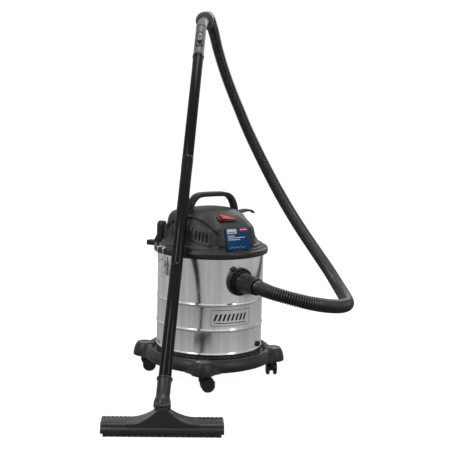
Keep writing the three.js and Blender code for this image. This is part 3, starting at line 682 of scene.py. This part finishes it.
def wheel_shape(side):
    """Twin caster wheel with a rounded tread, a dished face and a hub cap."""
    profile = [(0, 8), (3.4, 8), (3.4, 0.2), (17, 0.2), (18.6, 0.9), (19, 2.4), (19, 6.4), (18.4, 8),
               (17, 8.9), (15.4, 9), (14.8, 8.3), (9.5, 7.9), (9, 8.8), (6, 9.3), (0, 9.4)]
    place = shift(14, side * 6, 19) @ turn("X", -90 * side)
    shape = Shape().add(*lathe(profile, 48), place=place)
    for k in range(6):
        spoke = box(5.4, 1.6, 1.4, 12, 0, 8.2, 0.4)
        shape.add(*spoke, place=place @ turn("Z", 60 * k))
    return shape


def yoke_shape():
    """Swivel body of a caster: stem, flange, centre web and a hood over both wheels."""
    shape = Shape().add(*lathe([(0, 40), (5.4, 40), (5.4, 71), (4.6, 72), (0, 72)], 24))
    shape.add(*lathe([(0, 41.4), (14, 41.4), (15, 42.4), (15, 46.2), (14, 47.2), (0, 47.2)], 32))
    web = [(-10, 43), (-11, 32), (-7, 24), (2, 15), (10, 11.5), (19, 12.5), (24, 20), (24, 32), (20, 43)]
    shape.add(*prism(web, -4.8, 4.8, 1.2), place=turn("X", 90))
    hood = [(14 + 20.4 * math.cos(a), 0, 19 + 20.4 * math.sin(a))
            for a in (math.radians(20 + 8 * k) for k in range(19))]
    shape.add(*sweep(hood, rounded(27, 1.6, 0.7, 2), up=(1, 0, 0)))
    return shape


def make_casters():
    for k, (angle, trail) in enumerate(zip(POD_TURNS, CASTER_TRAILS), 1):
        place = HOME @ shift(*around(angle, POD_RADIUS)) @ turn("Z", trail)
        name = f"caster_{k}"
        piece(f"{name}_hooded_yoke", yoke_shape(), place, SATIN_BLACK, name,
              [f"{name}_yoke"])
        for side, word in ((-1, "left"), (1, "right")):
            piece(f"{name}_dished_wheel_{word}", wheel_shape(side), place, SATIN_BLACK, f"{name}_wheels",
                  [f"{name}_wheel_{word}"])


# ---- Inlet and drain ----------------------------------------------------------------------------
def make_inlet():
    place = aim(VACUUM, (0, -151.9, 296), (0, -300, 296))
    ring = [(24.2, -6), (37.5, -6), (38.6, -4), (39, 0), (39, 6.5), (38.2, 8.6), (36, 9.8), (34.5, 9.2),
            (33.5, 7), (31, 6.6), (30.4, 12), (29.4, 13), (24.2, 13)]
    shape = Shape().add(*lathe(ring, 72))
    for k in range(12):
        lug = box(5, 7.5, 5, 34, 0, 7.6, 0.8)
        shape.add(*lug, place=turn("Z", 30 * k + 9))
    shape.add(*box(15, 9, 7, 0, 40.5, 2.5, 1.2), place=turn("Z", 30))
    shape.add(*lathe([(22.6, -33), (24, -34), (24, -3), (22.6, -3)], 48))
    piece("inlet_collar", shape, place, SATIN_BLACK, replaces=["inlet_flange"])
    cuff = [(17.5, -28), (21.2, -28), (21.6, 13.4), (25.4, 13.6), (26.6, 14.6), (27, 16.4), (27, 27),
            (26.6, 29), (23, 78), (22.9, 80.4), (22.2, 81), (22.2, 82), (23.1, 82.6), (23.1, 86.8),
            (22.4, 88), (19.4, 88), (19.4, 84), (17.5, 84)]
    shape = Shape().add(*lathe(cuff, 72))
    for k in range(5):
        shape.add(*box(1.4, 1.6, 22, 0, -26.4, 44, 0.5), place=turn("Z", 18 * k - 54) @ turn("X", -4.1))
    piece("inlet_hose_cuff", shape, place, SATIN_BLACK, replaces=["hose_cuff_inlet"])


def make_drain():
    x, y, _ = around(34, 150.6)
    place = aim(VACUUM, (x, y, 106), around(34, 300, 106))
    boss = [(5, -1.5), (7.6, -1.5), (8, 0), (8, 1.8), (7.4, 2.6), (5.2, 2.6)]
    piece("drain_collar", Shape().add(*lathe(boss, 40)), place, SATIN_BLACK,
          replaces=["drain_boss"])
    bung = [(0, -6), (4, -6), (4.5, -5), (4.6, 2.9), (7.4, 3), (7.6, 4.6), (6.6, 6), (4.4, 6.2),
            (4, 5.4), (0, 5.4)]
    shape = Shape().add(*lathe(bung, 40)).add(*box(7, 1.8, 1.6, 0, 0, 5.6, 0.5))
    piece("drain_plug", shape, place, RUBBER, "drain_bung", ["drain_bung"])


# ---- Latches ------------------------------------------------------------------------------------
def latch_plate_shape():
    shape = Shape().add(*box(1.6, 30, 52, 151.4, 0, 326, 0.5, 0.5))
    for y in (-9.5, 9.5):
        ear = [(151, 331), (158, 333), (161, 336), (162, 339), (160.5, 342), (157, 343), (151, 344)]
        shape.add(*prism(ear, -1, 1, 0.3), place=shift(0, y, 0) @ turn("X", 90))
    pin = [(0, -11), (2.2, -11), (2.2, -10), (1.5, -9.6), (1.5, 9.6), (2.2, 10), (2.2, 11), (0, 11)]
    shape.add(*lathe(pin, 20), place=shift(157.5, 0, 338) @ turn("X", 90))
    for z in (305, 349):
        for y in (-8, 8):
            rivet = [(0, 0), (3, 0), (2.7, 0.9), (1.6, 1.6), (0, 1.8)]
            shape.add(*lathe(rivet, 20), place=shift(152, y, z) @ turn("Y", 90))
    return shape


def latch_lever_shape():
    shape = Shape()
    for x, z, half in ((157.5, 338, 7.5), (160, 326, 12)):
        tube = [(1.8, -half), (3.5, -half), (3.5, half), (1.8, half)]
        shape.add(*lathe(tube, 28), place=shift(x, 0, z) @ turn("X", 90))
    web = [(159.6, 337), (161, 336.4), (163.2, 326), (163.8, 316), (163.8, 303), (165, 300.4),
           (168, 299.2), (168, 297.8), (164.4, 298.8), (162.4, 302), (162.2, 316), (161, 326), (159.2, 333)]
    shape.add(*prism(web, -11.6, 11.6, 0.35), place=turn("X", 90))
    for y in (-7, 7):
        shape.add(*box(1.2, 1.6, 20, 164, y, 312, 0.4))
    return shape


def latch_bail_shape():
    right = [(160, 13, 326), (160, 15, 326), (165.1, 15, 378.1), (153, 14, 378.1)]
    loop = [(x, -y, z) for x, y, z in right] + right[::-1]
    return Shape().add(*sweep(fillet(loop, 5, 6), circle(1.5, 14)))


def make_latches():
    for word, angle in (("left", 180), ("right", 0)):
        place = VACUUM @ turn("Z", angle)
        piece(f"toggle_plate_{word}", latch_plate_shape(), place, CHROME,
              replaces=[f"latch_plate_{word}"])
        piece(f"toggle_lever_{word}", latch_lever_shape(), place, CHROME, f"latch_lever_{word}",
              [f"latch_lever_{word}"])
        piece(f"wire_bail_{word}", latch_bail_shape(), place, CHROME, f"latch_bail_{word}",
              [f"latch_bail_{word}"])


# ---- Motor head ---------------------------------------------------------------------------------
FRONT_SLOPE = [(143, 0), (141, 4), (138.5, 12), (135.5, 29), (128, 56), (122, 62), (108, 75), (90, 88),
               (62, 97.5), (45, 101.5), (24, 104.3), (0, 105)]
SIDE_SLOPE = [(143, 0), (142, 5), (137, 10), (130.5, 18), (126.5, 28), (124.5, 38), (122, 47), (118, 53),
              (110, 62), (97, 75.5), (79, 89), (62, 97.5), (45, 101.5), (24, 104.3), (0, 105)]
REAR_SLOPE = [(141, 0), (140, 4), (134, 8), (129.5, 16), (126, 34), (122.5, 56), (119.5, 72), (117.5, 80),
              (112.5, 86.5), (104, 90), (88, 93.5), (60, 98.5), (30, 103), (0, 105)]
VENTS = (-45, -90, 45, 90)


def ease(value, low, high):
    t = min(max((value - low) / (high - low), 0), 1)
    return t * t * (3 - 2 * t)


def profile_point(slope, t):
    """Point at a share t of a slope's length."""
    lengths = [0]
    for a, b in zip(slope, slope[1:]):
        lengths.append(lengths[-1] + math.dist(a, b))
    target = t * lengths[-1]
    for k in range(len(slope) - 1):
        if target <= lengths[k + 1] or k == len(slope) - 2:
            f = (target - lengths[k]) / (lengths[k + 1] - lengths[k])
            return [p + (q - p) * f for p, q in zip(slope[k], slope[k + 1])]


def eight_sided(angle, sharp=26):
    """Radius of a soft-cornered octagon with flats 1 away, one of them facing the front."""
    total = sum(max(0, math.cos(math.radians(angle - 45 * k))) ** sharp for k in range(8))
    return total ** (-1 / sharp)


def vent_depth(angle, z):
    """How far the skin is set back in the arched well on each side, less its raised vent panels."""
    aside = abs((angle + 180) % 360 - 180)
    across = (aside - 68) / 45
    top = 80 - 34 * across * across
    upward = (2 * z - top - 5) / max(top - 5, 1)
    well = (abs(across) ** 9 + abs(upward) ** 9) ** (1 / 9)
    depth = 7 * (1 - ease(well, 0.93, 1.03))
    for centre in (45, 90):
        over = aside - centre
        reach = (abs(over / 14) ** 6 + abs((z - 34 - 0.4 * over) / 22) ** 6) ** (1 / 6)
        depth -= 3 * (1 - ease(reach, 0.88, 1.04)) if depth > 3 else 0
    return depth


def cover_point(angle, t):
    aside = abs((angle + 180) % 360 - 180)
    front, back = 1 - ease(aside, 22, 50), ease(aside, 75, 115)
    shares = (front, 1 - front - back, back)
    points = [profile_point(slope, t) for slope in (FRONT_SLOPE, SIDE_SLOPE, REAR_SLOPE)]
    r, z = (sum(share * point[i] for share, point in zip(shares, points)) for i in (0, 1))
    flats = ease(z, 3, 14) * (1 - ease(z, 70, 100))
    r *= 1 + (eight_sided(angle) - 1) * flats * 0.9 - 0.012 * flats
    r -= vent_depth(angle, z)
    a = math.radians(angle)
    return r * math.sin(a), -r * math.cos(a), 382 + z


def make_cover():
    around_steps, up_steps = 320, 74
    rings = []
    for k in range(up_steps):
        t = k / up_steps
        rings.append([cover_point(360 * i / around_steps, t) for i in range(around_steps)])
    vertices, faces = join_rings(rings, caps=False)
    apex = len(vertices)
    vertices.append((0, 0, 487))
    start = (up_steps - 1) * around_steps
    faces += [[start + i, start + (i + 1) % around_steps, apex] for i in range(around_steps)]
    inner = [[(x * 0.965, y * 0.965, max(382, 382 + (z - 382) * 0.965)) for x, y, z in ring]
             for ring in rings]
    first = len(vertices)
    inner_vertices, inner_faces = join_rings(inner, caps=False)
    vertices += inner_vertices + [(0, 0, 483)]
    faces += [[first + i for i in face][::-1] for face in inner_faces]
    for i in range(around_steps):
        after = (i + 1) % around_steps
        faces.append([first + start + after, first + start + i, len(vertices) - 1])
        faces.append([i, first + i, first + after, after])
    cover = piece("faceted_cover", Shape().add(vertices, faces), VACUUM, HEAD_GREY,
                  replaces=["head_cover"], sharp=60)
    slots = Shape()
    for centre in VENTS:
        for k in (-1.5, -0.5, 0.5, 1.5):
            rise = 2 * k * (1 if centre > 0 else -1)
            slots.add(*box(3.6, 44, 25, 0, -126, 415 + rise, 1.2), place=turn("Z", centre + 5 * k))
    slots.add(*prism(rounded(53, 24, 3), -14, 30), place=switch_place())
    cut(cover, slots, VACUUM)
    # Painted shade: a thin dark rubber sheet set inside the head behind the vent slots, standing in for the
    # shade seen through them.
    shade_sheet_outline = [(0, 475), (40, 473), (72, 462), (98, 440), (108, 424), (112, 384), (113, 384),
              (109.2, 424.5), (99, 441), (72.6, 463), (40, 474), (0, 476)]
    piece("vent_shade_sheet", Shape().add(*lathe(shade_sheet_outline, 64)), VACUUM, RUBBER)


def make_rim():
    ring = [(62, 366), (140, 366), (140, 338), (146.5, 338), (147, 360), (160.2, 360), (161.6, 360.8),
            (162, 362.4), (162, 371.5), (161.5, 374), (160, 375.8), (157.5, 376.4), (152, 376.2),
            (149.5, 375), (148, 375), (146.6, 377.4), (144.5, 380.6), (142, 381.6), (132, 381.6),
            (132, 372), (62, 372)]
    shape = Shape().add(*lathe(ring, 192))
    piece("clamp_rim", shape, VACUUM, RIM_BLACK, replaces=["head_base"], sharp=50)


def make_carry_handle():
    half = [(16, 0, 520.6), (38, 0, 519.6), (52, 0, 515.5), (64, 0, 504), (72, 0, 487), (75.5, 0, 470),
            (76, 0, 455)]
    path = [(-x, y, z) for x, y, z in half[::-1]] + half
    outline = rounded(27, 12.6, 3.2, 5)
    shape = Shape().add(*sweep(smooth_path(path, 90), outline, up=(-1, 0, 0)))
    for side in (-1, 1):
        foot = [(side * 75, 0, 452), (side * 75.6, 0, 466)]
        shape.add(*sweep(foot, rounded(33, 19, 5, 5), up=(-1, 0, 0)))
    grip = glossy("grip_grey", (0.045, 0.045, 0.047), 0.24)
    piece("loop_handle", shape, VACUUM, grip, replaces=["carry_handle"], sharp=50)


def switch_place():
    return shift(-13, -98, 464) @ turn("X", 32)


def make_switch():
    place = VACUUM @ switch_place()
    flange = Shape().add(*prism(rounded(60, 28, 12, 8), -8, 2.6, 1.2, 3))
    bezel = piece("switch_surround", flange, place, SATIN_BLACK,
                  replaces=["switch_bezel"])
    well = [(-25, -10), (25, -10), (25, 0.6), (-25, 10.2)]
    cut(bezel, Shape().add(*prism(well, -6.4, 8)), place)
    top = [(x, 4.7 + 1.5 * (x / 23.6) ** 2) for x in range(22, -23, -4)]
    wedge = [(-23.7, -2.2), (-12, -2.6), (0, -2.8), (12, -1.8), (23.7, 0), (23.7, 6), *top,
             (-23.7, 6.4)]
    leaning = turn("Y", 8)
    rocker = Shape().add(*prism(wedge, -9.1, 9.1, 0.7), place=turn("X", 90))
    for k in range(3):
        rocker.add(*box(0.9, 12, 1.2, -20 + 2.4 * k, 0, 5.9 - 0.5 * k, 0.35))
    for i, (x, y, z) in enumerate(rocker.vertices):
        narrow = 1 - 1.15 * (x + 23.7) / 47.4 if y > 0 else 1
        rocker.vertices[i] = leaning @ Vector((x, y * narrow, z))
    piece("red_rocker", rocker, place, ROCKER_RED, "switch_rocker", ["switch_rocker"])


def make_label():
    place = VACUUM @ shift(0, -136.4, 411) @ turn("X", -13.4)
    shape = Shape().add(*prism(rounded(73, 61, 3, 5), -4, 1.5, 0.4), place=turn("X", 90))
    label = piece("blue_plate", shape, place, label_paint(), replaces=["label_plate"])
    uv = label.data.uv_layers.new(name="UVMap")
    back = (place @ Matrix.Scale(0.001, 4)).inverted()
    for loop in label.data.loops:
        spot = back @ label.data.vertices[loop.vertex_index].co
        uv.data[loop.index].uv = (spot.x / 73 + 0.5, spot.z / 61 + 0.5)


def make_hooks():
    path = smooth_path([(88, 0, 464), (102, 0, 468), (116, 0, 470), (128, 0, 469), (136, 0, 466),
                        (141, 0, 461.5)], 40)
    horn = Shape().add(*sweep(path, rounded(26, 7, 2.6, 5), size=lambda t: 1 - 0.4 * t * t, up=(-1, 0, 0)))
    piece("lead_horn", horn, VACUUM, HEAD_GREY, replaces=["cable_hook"])
    shape = Shape().add(*box(39, 24, 14, 180.5, 0, 367, 1.4, 1.6))
    shape.add(*box(17, 30, 10, 157, 0, 381.6, 1.6, 2))
    shape.add(*prism(rounded(60, 30, 13.4, 10), -9, 9, 2.2, 4), place=shift(157, 0, 403) @ turn("Y", 90))
    rib = [(0, 0), (13, 0), (0, 24)]
    for y in (-8, 8):
        shape.add(*prism(rib, -1.2, 1.2, 0.3), place=shift(165.6, y, 373.6) @ turn("X", 90))
    bracket = piece("wand_bracket", shape, VACUUM @ turn("Z", -235.2), SATIN_BLACK,
                    replaces=["side_hook"])
    ring = Shape().add(*lathe([(100, 340), (162.3, 340), (162.3, 376.6), (100, 376.6)], 120))
    cut(bracket, ring, VACUUM, shells=True)


# ---- Wand and floor tool ------------------------------------------------------------------------
STOPS = (94.3, 426.3, 795.3, 1204)  # where each tube ends, measured from the ball along the wand


def make_tubes():
    for name, foot, top in zip(("tube_lower", "tube_middle", "tube_upper"), STOPS, STOPS[1:]):
        collar = 1.6 if name == "tube_upper" else 0.1
        outside = [(13.4, foot - 33), (13.4, foot - 1), (15.4, foot), (15.9, foot + 0.8), (15.9, top - 52),
                   (16.3, top - 44), (16.3, top - 9), (16.3 + collar, top - 8.2), (16.3 + collar, top - 1),
                   (15.9 + collar, top - 0.4), (14.1, top - 0.4), (14.1, top - 38), (13.9, top - 46),
                   (13.9, foot + 8), (11.9, foot - 2), (11.9, foot - 33)]
        shape = Shape().add(*lathe(outside, 64))
        piece(name.replace("tube", "gloss_tube"), shape, WAND, TUBE_BLACK, "wand", [name],
              sharp=50)


def handle_path():
    aside, behind = math.sin(math.radians(8)), math.cos(math.radians(8))
    points = [(0, 0, 1205), (0, 0, 1264)]
    for i in range(5):
        a = math.radians(34 * i / 4)
        back = 110 * (1 - math.cos(a))
        points.append((back * aside, back * behind, 1310 + 110 * math.sin(a)))
    x, y, z = points[-1]
    a = math.radians(34)
    reach = 62 * math.sin(a)
    points.append((x + reach * aside, y + reach * behind, z + 62 * math.cos(a)))
    return points


def make_handle():
    shape = Shape().add(*sweep(smooth_path(handle_path(), 70), circle(16.4, 44), up=(0, 1, 0)))
    shape.add(*lathe([(0, 1171), (13, 1171), (13.4, 1173), (13.4, 1206), (0, 1206)], 40))
    collar = [(0, 1204.4), (16.8, 1204.4), (17.5, 1205.4), (17.5, 1209), (16.6, 1210.6), (0, 1210.6)]
    shape.add(*lathe(collar, 56))
    seam = [(0, 1328), (16.4, 1328), (16.9, 1328.8), (16.9, 1331.2), (16.4, 1332), (0, 1332)]
    shape.add(*lathe(seam, 56))
    slide_place = shift(0, 0, 1264) @ turn("X", 90)
    pocket = Shape().add(*prism(rounded(19, 58, 9.4, 10), 14.7, 30), place=slide_place)
    handle = piece("bent_handle", shape, WAND, HANDLE_GREY, "wand", ["wand_handle"],
                   sharp=50)
    cut(handle, pocket, WAND, shells=True)
    frame_shape = Shape().add(*prism(rounded(27, 67, 13.4, 10), 9, 17.9, 1.4, 3), place=slide_place)
    slide_frame = piece("slider_frame", frame_shape, WAND, SATIN_BLACK, "wand")
    cut(slide_frame, pocket, WAND)
    button = shift(0, 0, 1272) @ turn("X", 90)
    slider = Shape().add(*prism(rounded(15.6, 36, 7.7, 10), 15, 19.2, 1.1, 3), place=button)
    for k in (-1, 0, 1):
        slider.add(*box(9, 1.3, 1, 0, 3.2 * k, 19.4, 0.35), place=button)
    piece("air_slider", slider, WAND, HANDLE_GREY, "suction_slider", ["suction_slider"])
    path = handle_path()
    end = path[-1]
    onward = [2 * a - b for a, b in zip(path[-1], path[-2])]
    cuff = [(17.2, -20), (26.5, -20), (29.2, -18.8), (30, -16.4), (30, -13), (28.8, -10.8), (25.4, -8.6),
            (24, -5), (23.6, 12), (23, 14), (23, 17), (23.6, 19), (23.4, 34), (22.6, 36), (22.6, 40),
            (19.4, 40), (19.4, 36), (17.2, 36)]
    shape = Shape().add(*lathe(cuff, 64))
    for k in range(16):
        shape.add(*box(1.8, 2.2, 13, 23.6, 0, 26.5, 0.6), place=turn("Z", 22.5 * k))
    piece("handle_hose_cuff", shape, aim(WAND, end, onward), HANDLE_GREY, "wand",
          ["hose_cuff_handle"])


def make_neck():
    shape = Shape()
    ball = [(9.2, -19)] + arc(21, -62, 8, 17) + [(11, 19.4), (9.2, 12)]
    shape.add(*lathe(ball, 64))
    neck = [(9.2, 8), (12, 12), (12.6, 14.6), (18.6, 16.2), (20.6, 17.4), (21, 19.6), (20.9, 29),
            (20.3, 33), (18.9, 37.5), (17.7, 42), (17.3, 46), (17.3, 60), (17.2, 86), (17.6, 88.6),
            (19.6, 89.2), (20, 91), (19.8, 93.6), (14.2, 93.8), (14.2, 58.5), (9.2, 57)]
    shape.add(*lathe(neck, 72))
    for k in range(4):
        shape.add(*box(3, 2, 42, 17.2, 0, 64, 0.9), place=turn("Z", 90 * k + 45))
    piece("flared_neck", shape, WAND, TOOL_BLACK, "wand", ["tool_neck"], sharp=50)


def crown_shape():
    """Peaked crown that sweeps up from the deck in front of the neck, with hollow flanks."""
    rings = []
    for y, inset in ((-31.2, 2.4), (-31, 1.2), (-30, 0.2), (-28, 0), (-14, 0), (0, 0), (14, 0),
                     (26, 0), (29, 0.6), (30.4, 2.4)):
        ring = []
        for i in range(81):
            x = -86 + 172 * i / 80
            rise = max(1 - max(abs(x) - 9, 0) / 67, 0) ** 1.9
            rise += 0.03 * math.cos(min(abs(x) / 9, 1) * math.pi / 2)
            ring.append((x, y, 30.2 + 38 * rise * (1 - 0.3 * (y + 30) / 60) - inset))
        ring += [(86, y, 22), (-86, y, 22)]
        rings.append(ring)
    return join_rings(rings)


def seat_cutters():
    """Forms that clear the ball and the bell of the neck at every lean, in the tool's frame."""
    seat = TOOL.inverted() @ HOME @ (Vector(PIVOT) / 1000) * 1000
    ball = [(0, -22)] + arc(22, -80, 10, 17) + [(0, 22)]
    cutters = [Shape().add(*lathe(ball, 48), place=shift(*seat))]
    bell = [(0, 0), (15.4, 4), (15.4, 14), (23.2, 15), (23.6, 60), (0, 60)]
    for lean in range(-2, 51, 4):
        a = math.radians(lean)
        tip = (seat[0], seat[1] + 60 * math.sin(a), seat[2] + 60 * math.cos(a))
        cutters.append(Shape().add(*lathe(bell, 40), place=aim(Matrix.Identity(4), seat, tip)))
    return cutters


def strip_shape():
    """Rubber strip with a notch every 14 mm along its foot."""
    foot = []
    for k in range(20):
        x = -140 + 14 * k
        foot += [(x + 0.01, 0.2), (x + 12.6, 0.0), (x + 12.9, 1.2), (x + 13.9, 1.2)]
    return prism([(-140, 7.7), *foot, (140, 0.2), (140, 7.7)], -2.2, 2.2)


def make_floor_tool():
    section = [(-36, 8), (-36.2, 11), (-36.2, 18), (-35.6, 19.2), (-31.4, 21.8), (-30.6, 22.8), (-30.2, 27),
               (-29.6, 27.9), (-26, 30), (26, 30), (29.6, 27.9), (30.2, 27), (30.6, 22.8), (31.4, 21.8),
               (35.6, 19.2), (36.2, 18), (36.2, 11), (36, 8)]
    turned = turn("Z", 90) @ turn("X", 90)
    shape = Shape().add(*prism(section, -146, 146, 1.6, 3), place=turned)
    rib = [(y * 1.02, z + 0.9) for y, z in section if z > 22]
    for side in (-1, 1):
        for k in range(6):
            x = side * (90 + 10 * k)
            shape.add(*prism(rib, -3.2, 3.2, 0.7), place=shift(x, 0, 0) @ turned)
    shape.add(*crown_shape())
    shape.add(*prism(arc(19.5, -180, 12, 16), 30, 74, 3, 4), place=shift(0, -2, 0))
    tool = piece("wide_floor_tool", shape, TOOL, TOOL_BLACK, replaces=["tool_body"])
    for cutter in seat_cutters():
        cut(tool, cutter, TOOL, shells=True)
    mouth = Shape().add(*box(246, 24, 16, 0, 0, 11, 1))
    cut(tool, mouth, TOOL)
    for side, word in ((-1, "front"), (1, "rear")):
        strip = Shape().add(*strip_shape(), place=shift(0, side * 31.5, 0) @ turn("X", 90))
        piece(f"{word}_wiper", strip, TOOL, RUBBER, replaces=[f"{word}_strip"])


# ---- Putting it together ------------------------------------------------------------------------
hose, hose_route, hose_length = make_hose()
make_drum()
make_dolly()
make_casters()
make_inlet()
make_drain()
make_latches()
make_cover()
make_rim()
make_carry_handle()
make_switch()
make_label()
make_hooks()
make_tubes()
make_handle()
make_neck()
make_floor_tool()

carried = {
    "inlet_seal": RUBBER, "rim_gasket": RUBBER, "motor_mount_seal": RUBBER, "filter_band": RUBBER,
    "motor_housing": MOTOR_GREY, "motor_stator": LAMINATED, "motor_armature": COPPER,
    "fan_impeller": FAN_METAL, "float_cage": PALE_GREY, "float": PALE_GREY, "foam_filter": FOAM,
}
for number in range(1, 5):
    carried[f"caster_{number}_axle"] = AXLE_STEEL
for name, material in carried.items():
    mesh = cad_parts[name].data
    mesh.materials.clear()
    mesh.materials.append(material)


# ---- Floor, backdrop tone and lights ------------------------------------------------------------
def make_stage():
    mesh = bpy.data.meshes.new("floor")
    mesh.from_pydata([(-12, -12, 0), (12, -12, 0), (12, 12, 0), (-12, 12, 0)], [], [[0, 1, 2, 3]])
    floor = add_object("floor", mesh)
    n = Nodes("pale_floor")
    n.colour(n.mix(n.span(n.noise(3, 2), 0.3, 0.7, 0, 1), (0.28, 0.28, 0.28), (0.32, 0.32, 0.32)))
    n.set(Roughness=0.9, Specular_IOR_Level=0.1, Emission_Color=(1, 1, 1, 1), Emission_Strength=0.95)
    mesh.materials.append(n.material)
    floor.visible_diffuse = floor.visible_glossy = False


def make_world():
    """White where the camera looks at it; surfaces get less light from it, and most from above."""
    world = bpy.data.worlds.new("studio")
    bpy.context.scene.world = world
    world.use_nodes = True
    tree = world.node_tree
    seen = tree.nodes.new("ShaderNodeLightPath")
    direction = tree.nodes.new("ShaderNodeTexCoord")
    axes = tree.nodes.new("ShaderNodeSeparateXYZ")
    tree.links.new(direction.outputs["Generated"], axes.inputs["Vector"])
    maths = functools.partial(wired_maths, tree)
    slope = maths("MAXIMUM", maths("MULTIPLY_ADD", axes.outputs["Z"], 0.8, 0.95), 0.4)
    share = maths("MULTIPLY_ADD", seen.outputs["Is Glossy Ray"], 0.32, 0.2)
    share = maths("MULTIPLY", share, slope)
    share = maths("MAXIMUM", share, seen.outputs["Is Camera Ray"])
    tree.links.new(share, tree.nodes["Background"].inputs["Strength"])
    tree.nodes["Background"].inputs["Color"].default_value = (1, 1, 1, 1)


def soft_light(name, place, target, width, height, power):
    data = bpy.data.lights.new(name, "AREA")
    data.shape = "RECTANGLE"
    data.size, data.size_y, data.energy = width, height, power
    light = add_object(name, data)
    light.location = place
    light.rotation_euler = (Vector(target) - Vector(place)).to_track_quat("-Z", "Y").to_euler()


make_stage()
make_world()
soft_light("key", (-1.6, -2.2, 2.6), (0, 0, 0.4), 0.9, 1.8, 30)
soft_light("fill", (2.4, -1.8, 1.6), (0, 0, 0.4), 0.5, 2.0, 14)
soft_light("top", (0.2, 0.4, 3.2), (0, 0, 0.3), 1.4, 1.4, 24)
soft_light("rim", (1.2, 2.6, 2.0), (0, 0, 0.4), 1.6, 1.2, 14)
bpy.context.scene.view_settings.view_transform = "Standard"
